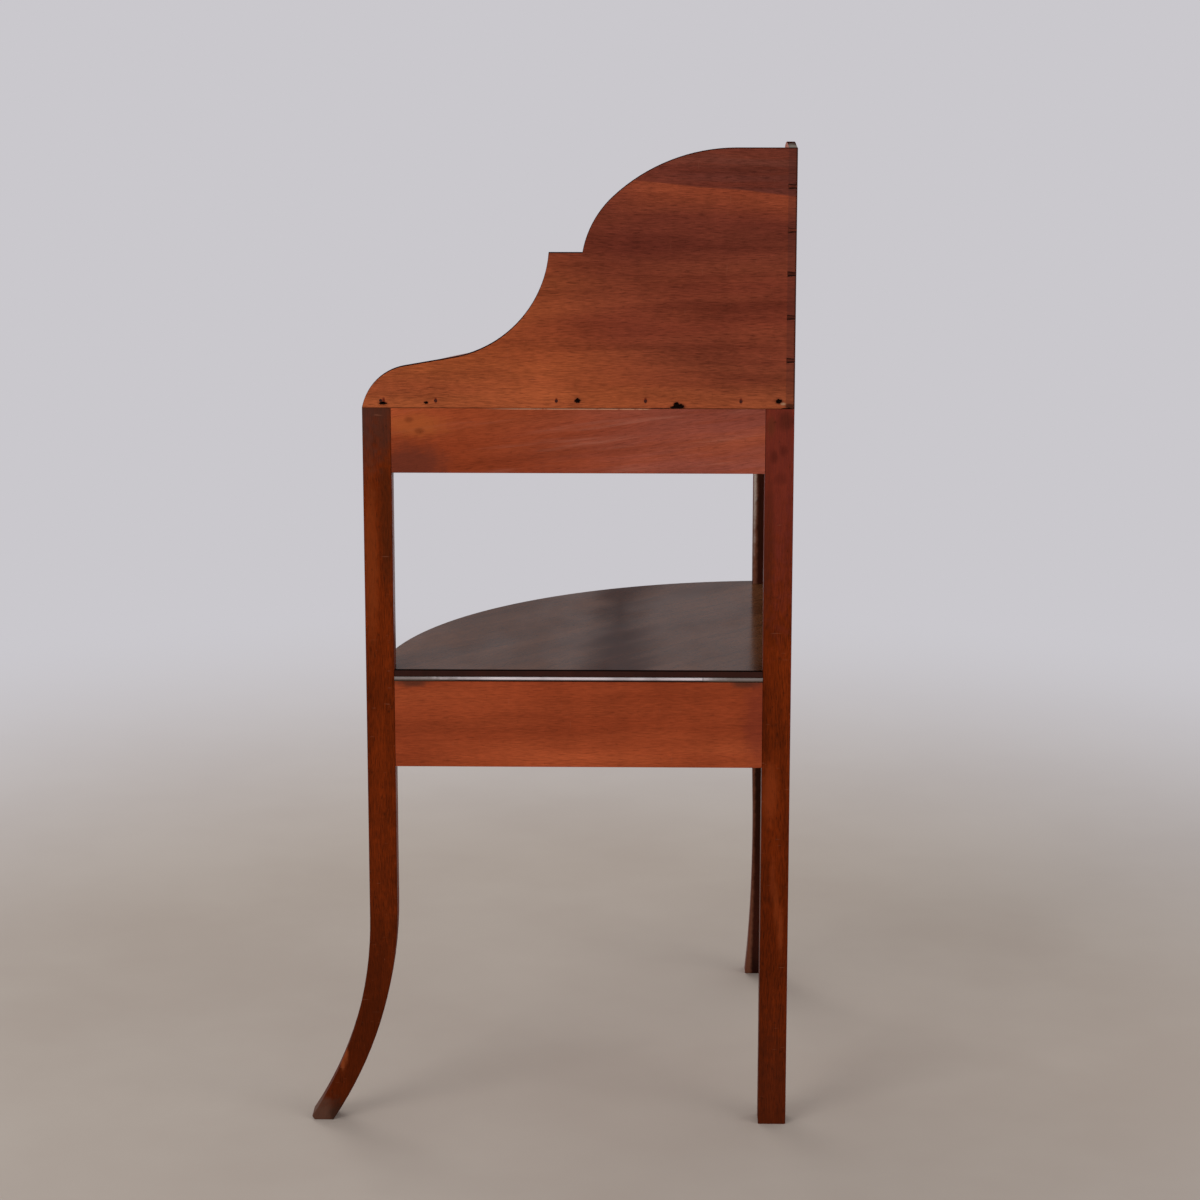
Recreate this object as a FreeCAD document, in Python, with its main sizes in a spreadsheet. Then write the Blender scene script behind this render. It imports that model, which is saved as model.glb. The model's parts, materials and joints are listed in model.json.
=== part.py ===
# Corner washstand in mahogany. Two flat backs meet at a right angle, the front is a quarter circle,
# and the stand has a washtop with three openings and high backboards, and a middle shelf over a case
# with one drawer between two fixed fronts.
#
# Lengths are in millimetres, +Z is up and the floor is z = 0. Every piece is placed from the outer
# corner of the corner post. "along" runs along a wall from that corner to a front leg, "depth" runs
# away from the wall into the stand, "out" runs along the diagonal towards the room, and "across" runs
# at right angles to the diagonal, towards the left leg. The left wall faces -Y, the right one +X.
import FreeCAD, Part
import math
import os
from types import SimpleNamespace

import Sketcher
from FreeCAD import Placement, Rotation, Vector

SIZES = {
    # The whole stand
    "side_length": 450.0,         # corner to the outer face of a front leg
    "top_level": 790.0,           # underside of the washtop, top of legs and rails
    "tier_level": 508.5,          # top of the middle shelf
    # Corner post and legs
    "leg_width": 30.0,
    "arris_radius": 1.6,
    "foot_throw": 67.0,           # how far a toe stands out past its leg
    "foot_width": 20.5,           # along the wall, at the floor
    "foot_set_back": 4.5,         # wall side of a foot, back from the wall
    "leg_taper": 3.0,             # room side of a leg, in from the case to the sweep
    "foot_reach": 5.5,            # room side of a foot, out from the leg at the sweep
    "toe_rise": 4.0,
    "toe_wear": 2.8,
    "outer_sweep_level": 232.5,   # where the outer face starts to curve
    "inner_sweep_level": 249.0,
    # Rails and their joints
    "rail_thickness": 20.0,
    "upper_rail_height": 68.5,
    "case_height": 93.5,
    "tenon_length": 14.0,
    "tenon_thickness": 7.0,
    "tenon_inset": 6.5,           # outer face of a straight rail to its tenon
    "tenon_shoulder": 8.0,        # above and below a tenon
    "stub_length": 9.0,           # tenons of the case's front pieces
    # Bowed front: a leg's outer face to the edge of the washtop, of the shelf and of the fronts
    "washtop_set_back": 4.0,
    "shelf_set_back": 12.0,
    "front_set_back": 16.0,
    "frieze_thickness": 18.0,
    # Washtop
    "washtop_thickness": 16.0,
    "washtop_rounding": 4.0,
    "basin_radius": 130.0,
    "dish_radius": 40.0,
    "hole_rounding": 1.5,
    # Backboards
    "board_thickness": 9.0,
    "board_height": 270.0,
    "board_rounding": 0.8,
    "shoulder_width": 44.5,
    "shoulder_height": 44.0,
    "slope_width": 50.6,
    "slope_rise": 8.9,
    "hollow_width": 99.8,
    "hollow_rise": 109.3,
    "step_width": 34.7,
    "pin_first": 51.0,            # backboard's foot to the middle of the lowest dovetail pin
    "pin_last": 39.0,             # top of the board to the middle of the highest one
    "pin_narrow": 3.4,
    "pin_wide": 5.4,
    # Nails of the backboards
    "nail_rise": 8.0,
    "nail_radius": 0.9,
    "nail_length": 26.0,
    "nail_head_radius": 1.7,
    "nail_head_thickness": 1.0,
    # Screw blocks under the washtop
    "block_size": 15.0,
    "block_length": 46.0,
    "screw_radius": 1.7,
    "screw_head_radius": 3.4,
    "screw_head_height": 2.6,
    "screw_bite": 11.0,           # length of a screw inside the washtop
    # Middle shelf and the bead under it
    "shelf_thickness": 6.5,
    "shelf_rounding": 2.4,
    "bead_height": 5.5,
    "bead_width": 6.0,
    "bead_rounding": 2.2,
    "bead_break": 93.0,           # corner to the joint in the left bead
    "bead_joint_gap": 0.5,
    "bead_front_set_back": 1.5,   # shelf edge to the bead under it
    # Case round the drawer
    "case_bottom_thickness": 8.0,
    "case_top_rail_height": 8.0,
    "case_top_rail_width": 30.0,
    "panel_thickness": 14.0,
    "panel_knob_turn": 29.5,      # degrees from the diagonal to a fixed front's knob
    "cleat_size": 12.0,
    "cleat_clearance": 8.0,       # cleat to a drawer guide and to a leg
    "guide_width": 12.0,
    "guide_height": 28.0,
    "kicker_width": 10.0,
    "stop_size": 12.0,
    "stop_place": 60.0,           # diagonal to the middle of a drawer stop
    # Drawer
    "drawer_width": 270.0,
    "drawer_front_thickness": 18.0,
    "drawer_front_gap": 1.0,
    "drawer_side_thickness": 8.0,
    "drawer_side_height": 66.0,
    "drawer_side_gap": 0.5,
    "drawer_run_gap": 0.3,
    "drawer_back_clearance": 3.0,
    "drawer_back_drop": 4.0,
    "drawer_bottom_rise": 4.0,
    "drawer_bottom_thickness": 4.0,
    "groove_depth": 3.5,
    "tail_length": 9.0,
    "tail_half_width": 8.0,
    "tail_flare": 1.6,
    "tail_comb_strip": 10.0,
    # Cockbeads, which frame the drawer and the fixed fronts
    "cockbead_thickness": 2.6,
    "cockbead_depth": 7.0,
    "cockbead_proud": 1.5,
    "cockbead_inset": 4.0,        # edge of a fixed front to its cockbead
    # Turned brass knobs
    "rose_radius": 8.0,
    "rose_thickness": 1.4,
    "neck_radius": 3.4,
    "neck_length": 7.0,
    "knob_radius": 9.0,
    "knob_rim": 3.0,
    "knob_dome": 4.6,
    "knob_dome_radius": 11.5,
    "post_radius": 2.0,
    "post_overrun": 6.0,
    "nut_radius": 5.0,
    "nut_thickness": 3.0,
    # One overrun for every cut that runs past a piece
    "overrun": 10.0,
}

PIN_COUNT = 5
NAIL_PLACE_SHARES = (0.124, 0.344, 0.55, 0.829, 0.956)   # of side_length, from the corner
BLOCK_PLACE_SHARES = (0.22, 0.56)                        # of side_length, from the corner
TAIL_PLACE_SHARES = (0.36, 0.76)                         # of drawer_side_height, from its foot
BASIN_PLACE_SHARE = 0.5875                               # of the washtop's radius, on the diagonal
DISH_PLACE_SHARES = (0.825, 0.162)                       # of the washtop's radius, along and in depth
CROWN_SIDE_SHARES = (0.857, 0.536)                       # of the crown: its rounded side's end
LEVEL_TOP_SHARE = 0.28                                   # of the crown's width, from the corner
OTHER_END = {1: 2, 2: 1}                                 # an edge's start and end, as a sketch counts
SLANT = math.sqrt(0.5)
SIDES = {"left": 180.0, "right": 90.0}                   # turn of a wall's own frame about Z
DIAGONAL_TURN = 135.0
NEAR = 0.01                                              # closeness of two places that are one

doc = FreeCAD.newDocument("corner_washstand")
sheet = doc.addObject("Spreadsheet::Sheet", "Sizes")
for row, (alias, number) in enumerate(SIZES.items(), start=1):
    sheet.set(f"A{row}", alias)
    sheet.set(f"B{row}", str(number))
    sheet.setAlias(f"B{row}", alias)
doc.recompute()


class Size:
    """A number and the sheet formula that gives it."""

    def __init__(self, value, text):
        self.value = value
        self.text = text

    def __add__(self, other):
        other = as_size(other)
        return Size(self.value + other.value, f"({self.text} + {other.text})")

    def __sub__(self, other):
        other = as_size(other)
        return Size(self.value - other.value, f"({self.text} - {other.text})")

    def __mul__(self, other):
        other = as_size(other)
        return Size(self.value * other.value, f"({self.text} * {other.text})")

    def __truediv__(self, other):
        other = as_size(other)
        return Size(self.value / other.value, f"({self.text} / {other.text})")

    def __neg__(self):
        return Size(-self.value, f"(0 - {self.text})")


def as_size(number):
    return number if isinstance(number, Size) else Size(float(number), repr(float(number)))


def root(size):
    return Size(math.sqrt(size.value), f"sqrt({size.text})")


def tangent_radius(drop, throw):
    """Radius of an arc that starts along the drop and ends the throw away from its line."""
    return (drop * drop + throw * throw) / (throw * 2)


def touching_radius(width, rise, ahead, up):
    """Radius of an arc of that width and rise which has the line (ahead, up) as its tangent at one end."""
    line = root(ahead * ahead + up * up)
    return (width * width + rise * rise) * line / ((rise * ahead - width * up) * 2)


mm = SimpleNamespace(**{name: Size(number, "Sizes." + name) for name, number in SIZES.items()})
ZERO = as_size(0)

# Levels and places that several pieces share
CORNER = (mm.side_length + mm.foot_throw) / 2
WASHTOP_RADIUS = mm.side_length - mm.washtop_set_back
SHELF_RADIUS = mm.side_length - mm.shelf_set_back
FRONT_RADIUS = mm.side_length - mm.front_set_back
CASE_TOP = mm.tier_level - mm.shelf_thickness - mm.bead_height
CASE_LOW = CASE_TOP - mm.case_height
DRAWER_FLOOR = CASE_LOW + mm.case_bottom_thickness
DRAWER_CEILING = CASE_TOP - mm.case_top_rail_height
UPPER_RAIL_LOW = mm.top_level - mm.upper_rail_height
LEG_INNER = mm.side_length - mm.leg_width
HALF_DRAWER = mm.drawer_width / 2
HALF_OPENING = HALF_DRAWER + mm.drawer_front_gap
GUIDE_INNER = HALF_DRAWER + mm.drawer_side_gap
GUIDE_OUTER = GUIDE_INNER + mm.guide_width
DRAWER_BACK = GUIDE_OUTER + mm.rail_thickness / SLANT + mm.drawer_back_clearance
DRAWER_LOW = DRAWER_FLOOR + mm.drawer_run_gap
DRAWER_SIDE_TOP = DRAWER_LOW + mm.drawer_side_height
DRAWER_FRONT_LOW = DRAWER_FLOOR + mm.drawer_front_gap
DRAWER_FRONT_TOP = DRAWER_CEILING - mm.drawer_front_gap
DRAWER_FRONT_INNER = FRONT_RADIUS - mm.drawer_front_thickness
SHELF_UNDERSIDE = mm.tier_level - mm.shelf_thickness
FRONT_TENON = (LEG_INNER + mm.tenon_thickness / 2, LEG_INNER + mm.tenon_thickness * 1.5)

sub_parts = []


def bind(thing, path, size):
    thing.setExpression(path, as_size(size).text)


def place(thing, x, y, z, turn=0.0):
    """Puts a piece at x, y, z, turned about the vertical by a number of degrees."""
    thing.Placement = Placement(Vector(x.value, y.value, z.value), Rotation(Vector(0, 0, 1), turn))
    for axis, length in zip("xyz", (x, y, z)):
        bind(thing, "Placement.Base." + axis, length)


def sub_part(thing):
    """Keeps a finished piece, whose name is its Label and its file's name."""
    thing.Label = thing.Name
    sub_parts.append(thing)
    return thing


def sized_box(name, spans, base, turn=0.0):
    thing = doc.addObject("Part::Box", name)
    for path, (start, end) in zip(("Length", "Width", "Height"), spans):
        bind(thing, path, end - start)
    place(thing, *base, turn)
    return thing


def block(name, side, along, depth, up):
    """A box square to the walls, told from one of them."""
    spans = (along, depth, up) if side == "left" else (depth, along, up)
    return sized_box(name, spans, (CORNER - spans[0][1], spans[1][0] - CORNER, up[0]))


def bar(name, out, across, up):
    """A box square to the diagonal."""
    x = CORNER - (out[0] + across[0]) * SLANT
    y = (out[0] - across[0]) * SLANT - CORNER
    return sized_box(name, (out, across, up), (x, y, up[0]), DIAGONAL_TURN)


def disc(name, radius, up, along=ZERO, depth=ZERO):
    """An upright cylinder, about the corner unless a place is given from the left wall."""
    thing = doc.addObject("Part::Cylinder", name)
    bind(thing, "Radius", radius)
    bind(thing, "Height", up[1] - up[0])
    place(thing, CORNER - along, depth - CORNER, up[0])
    return thing


def group(kind, name, things):
    """MultiFuse or MultiCommon of several shapes."""
    thing = doc.addObject("Part::" + kind, name)
    thing.Shapes = things
    return thing


def cut(name, base, tools):
    thing = doc.addObject("Part::Cut", name)
    thing.Base = base
    thing.Tool = tools[0] if len(tools) == 1 else group("MultiFuse", name + "_tools", tools)
    return thing


def separate(name, things):
    """Several separate solids as one sub-part."""
    thing = doc.addObject("Part::Compound", name)
    thing.Links = things
    return thing


def bow(name, outer, inner, up, wall_gap):
    """A piece bent to a quarter circle about the corner, kept off both walls by the gap."""
    whole = disc(name + "_outer", outer, up)
    hollow = disc(name + "_inner", inner, (up[0] - mm.overrun, up[1] + mm.overrun))
    ring = cut(name + "_ring", whole, [hollow])
    quarter = block(name + "_quarter", "left", (wall_gap, outer), (wall_gap, outer), up)
    return group("MultiCommon", name + "_bow", [ring, quarter])


def quarter_board(name, radius, up, wall_gap):
    """A flat quarter-round board that starts the gap away from both walls."""
    whole = disc(name + "_disc", radius, up)
    reach = (wall_gap, radius + mm.overrun)
    quarter = block(name + "_quarter", "left", reach, reach, up)
    return group("MultiCommon", name + "_round", [whole, quarter])


def rounded(name, base, radius, chosen):
    """Rounds the edges of the base for which chosen(edge) is true."""
    doc.recompute()
    thing = doc.addObject("Part::Fillet", name)
    thing.Base = base
    numbers = [n for n, edge in enumerate(base.Shape.Edges, start=1) if chosen(edge)]
    thing.Edges = [(n, radius.value, radius.value) for n in numbers]
    return thing


def steep(edge):
    """Tells the long upright edges of a leg."""
    return edge.BoundBox.ZLength > mm.leg_width.value


def along_wall(side):
    """Tells the level edges that lie in a wall's plane."""
    def chosen(edge):
        box = edge.BoundBox
        off = box.YMax + CORNER.value if side == "left" else CORNER.value - box.XMin
        return abs(off) < NEAR and box.ZLength < NEAR

    return chosen


def bowed(radius):
    """Tells the round edges of one radius, which the bowed front gives a piece."""
    def chosen(edge):
        return edge.Curve.TypeId == "Part::GeomCircle" and abs(edge.Curve.Radius - radius.value) < NEAR

    return chosen


def curved(turn, radius):
    """An arc to an outline's next point, turning left or right as it goes."""
    return turn, radius


def arc_between(start, end, turn, radius):
    """A circle's arc of under a half turn from start to end, as a sketch holds it."""
    chord = end - start
    rise = math.sqrt(radius ** 2 - (chord.Length / 2) ** 2)
    sideways = Vector(-chord.y, chord.x, 0).normalize()
    centre = (start + end) * 0.5 + sideways * (rise if turn == "left" else -rise)
    first, last = (start, end) if turn == "left" else (end, start)
    angles = [math.atan2(point.y - centre.y, point.x - centre.x) for point in (first, last)]
    return Part.ArcOfCircle(Part.Circle(centre, Vector(0, 0, 1), radius), *angles)


def pin_coordinate(sketch, edge, point, axis, size):
    """Ties one coordinate of a sketch point to its formula, measured from the origin."""
    if size.value == 0:
        sketch.addConstraint(Sketcher.Constraint("PointOnObject", edge, point, -2 if axis == "X" else -1))
        return
    ends = (-1, 1, edge, point) if size.value > 0 else (edge, point, -1, 1)
    size = size if size.value > 0 else -size
    number = sketch.addConstraint(Sketcher.Constraint("Distance" + axis, *ends, size.value))
    bind(sketch, f"Constraints[{number}]", size)


def draw(body, plane, outline):
    """A closed sketch. Each item is x, y and, where the way to the next point is an arc, curved(...)."""
    sketch = body.newObject("Sketcher::SketchObject", body.Name + "_outline")
    sketch.AttachmentSupport = [(next(f for f in body.Origin.OriginFeatures if f.Role == plane), "")]
    sketch.MapMode = "FlatFace"
    points = [Vector(item[0].value, item[1].value, 0) for item in outline]
    starts = []
    for number, item in enumerate(outline):
        start, end = points[number], points[(number + 1) % len(points)]
        if len(item) == 2:
            sketch.addGeometry(Part.LineSegment(start, end))
            starts.append(1)
        else:
            turn, radius = item[2]
            sketch.addGeometry(arc_between(start, end, turn, radius.value))
            starts.append(1 if turn == "left" else 2)
    for number, start in enumerate(starts):
        after = (number + 1) % len(starts)
        sketch.addConstraint(
            Sketcher.Constraint("Coincident", number, OTHER_END[start], after, starts[after]))
    for number, item in enumerate(outline):
        pin_coordinate(sketch, number, starts[number], "X", item[0])
        pin_coordinate(sketch, number, starts[number], "Y", item[1])
        if len(item) == 3:
            constraint = sketch.addConstraint(Sketcher.Constraint("Radius", number, item[2][1].value))
            bind(sketch, f"Constraints[{constraint}]", item[2][1])
    return sketch


def padded(name, turn, plane, outline, length, reverse, x=None, y=None, z=ZERO):
    """A body padded from one sketch, placed at the corner unless x and y are given."""
    body = doc.addObject("PartDesign::Body", name)
    place(body, x or CORNER, y or -CORNER, z, turn)
    pad = body.newObject("PartDesign::Pad", name + "_pad")
    pad.Profile = draw(body, plane, outline)
    pad.Reversed = reverse
    bind(pad, "Length", length)
    return body


def turned(name, turn, level, outline):
    """A body turned about a level axis that points out from the corner."""
    body = doc.addObject("PartDesign::Body", name)
    place(body, CORNER, -CORNER, level, turn)
    feature = body.newObject("PartDesign::Revolution", name + "_turning")
    sketch = draw(body, "XZ_Plane", outline)
    feature.Profile = sketch
    feature.ReferenceAxis = (sketch, ["H_Axis"])
    feature.Angle = 360.0
    return body


def corner_post():
    faces = (ZERO, mm.leg_width)
    plain = block("corner_post_plain", "left", faces, faces, (ZERO, mm.top_level))
    return rounded("corner_post_form", plain, mm.arris_radius, steep)


def sabre_leg(side):
    """A front leg, upright to the sweep level and then curving out along the wall."""
    toe = mm.side_length + mm.foot_throw
    heel = toe - mm.toe_wear - mm.foot_width
    outer_drop = mm.outer_sweep_level - mm.toe_rise
    outline = [
        (LEG_INNER, mm.top_level),
        (LEG_INNER, mm.inner_sweep_level,
         curved("left", tangent_radius(mm.inner_sweep_level, heel - LEG_INNER))),
        (heel, ZERO),
        (toe - mm.toe_wear, ZERO),
        (toe, mm.toe_rise, curved("right", tangent_radius(outer_drop, mm.foot_throw))),
        (mm.side_length, mm.outer_sweep_level),
        (mm.side_length, mm.top_level),
    ]
    seen_from_wall = padded(f"leg_{side}_profile", SIDES[side], "XZ_Plane", outline,
                            mm.leg_width + mm.foot_reach, side == "right")
    sign = -1 if side == "left" else 1
    slimmest = mm.leg_width - mm.leg_taper
    reach_radius = touching_radius(mm.foot_reach, mm.inner_sweep_level,
                                   mm.leg_taper, mm.inner_sweep_level - CASE_LOW)
    taper = [
        (ZERO, mm.top_level),
        (ZERO, mm.inner_sweep_level),
        (mm.foot_set_back * sign, ZERO),
        ((slimmest + mm.foot_reach) * sign, ZERO, curved(side, reach_radius)),
        (slimmest * sign, mm.inner_sweep_level),
        (mm.leg_width * sign, CASE_LOW),
        (mm.leg_width * sign, mm.top_level),
    ]
    seen_from_side = padded(f"leg_{side}_taper", SIDES[side], "YZ_Plane", taper, toe + mm.overrun, False)
    form = group("MultiCommon", f"leg_{side}_form", [seen_from_wall, seen_from_side])
    return rounded(f"leg_{side}_rounded", form, mm.arris_radius, steep)


def straight_rail(name, side, up):
    """A rail flush with a wall, with a tenon at each end. Returns the rail and its two tenons."""
    plain = block(name + "_plain", side, (mm.leg_width, LEG_INNER), (ZERO, mm.rail_thickness), up)
    cheeks = (mm.tenon_inset, mm.tenon_inset + mm.tenon_thickness)
    height = (up[0] + mm.tenon_shoulder, up[1] - mm.tenon_shoulder)
    post_end = (mm.leg_width - mm.tenon_length, mm.leg_width)
    leg_end = (LEG_INNER, LEG_INNER + mm.tenon_length)
    to_post = block(name + "_post_tenon", side, post_end, cheeks, height)
    to_leg = block(name + "_leg_tenon", side, leg_end, cheeks, height)
    return sub_part(group("MultiFuse", name, [plain, to_post, to_leg])), to_post, to_leg


def front_tenon(name, side, length, up):
    """A tenon that enters the room side of a front leg."""
    return block(name, side, FRONT_TENON, (mm.leg_width - length, mm.leg_width + mm.bead_joint_gap), up)


def backboard_outline(start):
    """The shaped outline of a backboard from its foot, starting the given way from the corner."""
    foot = mm.top_level
    shoulder = mm.side_length - mm.shoulder_width
    slope_end = shoulder - mm.slope_width
    cusp = slope_end - mm.hollow_width
    shoulder_level = foot + mm.shoulder_height
    slope_level = shoulder_level + mm.slope_rise
    cusp_level = slope_level + mm.hollow_rise
    slope = (mm.slope_width, mm.slope_rise)
    shoulder_radius = touching_radius(mm.shoulder_width, mm.shoulder_height, *slope)
    hollow_radius = touching_radius(mm.hollow_width, mm.hollow_rise, *slope)

    crown = cusp - mm.step_width
    top = foot + mm.board_height
    side_end = crown * CROWN_SIDE_SHARES[0]
    side_top = cusp_level + (top - cusp_level) * CROWN_SIDE_SHARES[1]
    level_top = crown * LEVEL_TOP_SHARE
    crown_radius = tangent_radius(side_end - level_top, top - side_top)
    side_radius = touching_radius(crown - side_end, side_top - cusp_level,
                                  crown_radius - (top - side_top), side_end - level_top)
    return [
        (start, foot),
        (mm.side_length, foot, curved("left", shoulder_radius)),
        (shoulder, shoulder_level),
        (slope_end, slope_level, curved("right", hollow_radius)),
        (cusp, cusp_level),
        (crown, cusp_level, curved("left", side_radius)),
        (side_end, side_top, curved("left", crown_radius)),
        (level_top, top),
        (start, top),
    ]


def shaped_edge(edge):
    """Tells the edges that run along a backboard's shaped top, but for its level step, which is crisp."""
    box = edge.BoundBox
    along = box.XLength + box.YLength > mm.board_thickness.value + NEAR
    sloping = box.ZLength > NEAR and box.ZMax > mm.top_level.value + NEAR
    at_top = box.ZMax > (mm.top_level + mm.board_height).value - NEAR
    return along and (sloping or at_top)


def backboard(side, start):
    plain = padded(f"backboard_{side}_form", SIDES[side], "XZ_Plane", backboard_outline(start),
                   mm.board_thickness, side == "right")
    return rounded(f"backboard_{side}_rounded", plain, mm.board_rounding, shaped_edge)


def dovetail_pins():
    """The pins that stand out of the right backboard into the left one."""
    pins = []
    pitch = (mm.board_height - mm.pin_first - mm.pin_last) / (PIN_COUNT - 1)
    for number in range(PIN_COUNT):
        middle = mm.top_level + mm.pin_first + pitch * number
        outline = [
            (ZERO, middle - mm.pin_narrow / 2),
            (mm.board_thickness, middle - mm.pin_wide / 2),
            (mm.board_thickness, middle + mm.pin_wide / 2),
            (ZERO, middle + mm.pin_narrow / 2),
        ]
        pins.append(padded(f"pin_{number}", SIDES["left"], "XZ_Plane", outline, mm.board_thickness, False))
    return pins


def backboard_nails(side):
    """Nails through a backboard's foot into the washtop's edge, each a shank and a head."""
    nails = []
    for number, share in enumerate(NAIL_PLACE_SHARES):
        pieces = []
        for part, radius, length in (("shank", mm.nail_radius, mm.nail_length),
                                     ("head", mm.nail_head_radius, mm.nail_head_thickness)):
            thing = doc.addObject("Part::Cylinder", f"nail_{side}_{number}_{part}")
            bind(thing, "Radius", radius)
            bind(thing, "Height", length)
            along = mm.side_length * share
            level = mm.top_level + mm.nail_rise
            if side == "left":
                place(thing, CORNER - along, -CORNER, level)
                thing.Placement.Rotation = Rotation(Vector(1, 0, 0), -90)
            else:
                place(thing, CORNER, along - CORNER, level)
                thing.Placement.Rotation = Rotation(Vector(0, 1, 0), -90)
            pieces.append(thing)
        nails.append(group("MultiFuse", f"nail_{side}_{number}", pieces))
    return nails


def screw_block_places():
    """Name, maker and spans of each block under the washtop."""
    reach = (mm.rail_thickness, mm.rail_thickness + mm.block_size)
    places = []
    for side in SIDES:
        for number, share in enumerate(BLOCK_PLACE_SHARES):
            start = mm.side_length * share
            places.append((f"{side}_{number}", side, (start, start + mm.block_length), reach))
    half = mm.block_length / 2
    inner = FRONT_RADIUS - mm.frieze_thickness
    end = root(inner * inner - half * half)
    places.append(("front", "diagonal", (end - mm.block_size, end), (-half, half)))
    return places


def screw_blocks():
    """Blocks glued in the angle of rails and washtop, and the screws up through them."""
    blocks, screws = [], []
    up = (mm.top_level - mm.block_size, mm.top_level)
    for name, side, first, second in screw_block_places():
        middle = (first[0] + first[1]) / 2, (second[0] + second[1]) / 2
        if side == "diagonal":
            plain = bar(f"block_{name}", first, second, up)
            x, y = CORNER - middle[0] * SLANT, middle[0] * SLANT - CORNER
        else:
            plain = block(f"block_{name}", side, first, second, up)
            along, depth = middle if side == "left" else middle[::-1]
            x, y = CORNER - along, depth - CORNER
        shank = doc.addObject("Part::Cylinder", f"screw_{name}_shank")
        bind(shank, "Radius", mm.screw_radius)
        bind(shank, "Height", mm.block_size + mm.screw_bite)
        place(shank, x, y, up[0])
        head = doc.addObject("Part::Cone", f"screw_{name}_head")
        bind(head, "Radius1", mm.screw_head_radius)
        bind(head, "Radius2", mm.screw_radius)
        bind(head, "Height", mm.screw_head_height)
        place(head, x, y, up[0])
        screws.append(group("MultiFuse", f"screw_{name}", [shank, head]))
        blocks.append(cut(f"block_{name}_bored", plain, [screws[-1]]))
    return blocks, screws


def leg_notches(name, up):
    """The room that the post and the two legs take out of a flat board."""
    faces = (-mm.overrun, mm.leg_width)
    span = (up[0] - mm.overrun, up[1] + mm.overrun)
    notches = [block(f"{name}_post_notch", "left", faces, faces, span)]
    for side in SIDES:
        end = (LEG_INNER, mm.side_length + mm.overrun)
        notches.append(block(f"{name}_{side}_notch", side, end, faces, span))
    return notches


def washtop(bores):
    up = (mm.top_level, mm.top_level + mm.washtop_thickness)
    through = (up[0] - mm.overrun, up[1] + mm.overrun)
    plain = quarter_board("washtop", WASHTOP_RADIUS, up, mm.board_thickness)
    basin = WASHTOP_RADIUS * BASIN_PLACE_SHARE * SLANT
    along, depth = (WASHTOP_RADIUS * share for share in DISH_PLACE_SHARES)
    places = {
        "basin": (mm.basin_radius, basin, basin),
        "dish_left": (mm.dish_radius, along, depth),
        "dish_right": (mm.dish_radius, depth, along),
    }
    holes = [disc(f"{name}_hole", radius, through, *centre)
             for name, (radius, *centre) in places.items()]
    holed = cut("washtop_holed", plain, holes)
    edged = rounded("washtop_edged", holed, mm.washtop_rounding, bowed(WASHTOP_RADIUS))

    def rim(edge):
        return any(bowed(radius)(edge) for radius in (mm.basin_radius, mm.dish_radius))

    eased = rounded("washtop_eased", edged, mm.hole_rounding, rim)
    return sub_part(cut("washtop", eased, bores))


def middle_shelf():
    up = (SHELF_UNDERSIDE, mm.tier_level)
    plain = quarter_board("shelf_plain", SHELF_RADIUS, up, ZERO)
    edged = rounded("shelf_edged", plain, mm.shelf_rounding, bowed(SHELF_RADIUS))
    return sub_part(cut("shelf_board", edged, leg_notches("shelf", up)))


def shelf_beads():
    """Half-round strips under the shelf: two lengths on the left, one on the right, one bowed."""
    up = (CASE_TOP, SHELF_UNDERSIDE)
    lengths = {
        "shelf_bead_left": ("left", (mm.bead_break + mm.bead_joint_gap, LEG_INNER)),
        "shelf_bead_left_short": ("left", (mm.leg_width, mm.bead_break)),
        "shelf_bead_right": ("right", (mm.leg_width, LEG_INNER)),
    }
    for name, (side, along) in lengths.items():
        plain = block(name + "_plain", side, along, (ZERO, mm.bead_width), up)
        sub_part(rounded(name, plain, mm.bead_rounding, along_wall(side)))
    radius = SHELF_RADIUS - mm.bead_front_set_back
    front = bow("shelf_bead_front", radius, radius - mm.bead_width, up, mm.leg_width)
    sub_part(rounded("shelf_bead_front", front, mm.bead_rounding, bowed(radius)))


def case_bottom():
    up = (CASE_LOW, DRAWER_FLOOR)
    plain = quarter_board("case_bottom", FRONT_RADIUS, up, mm.rail_thickness)
    return sub_part(cut("case_bottom", plain, leg_notches("case_bottom", up)))


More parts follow.
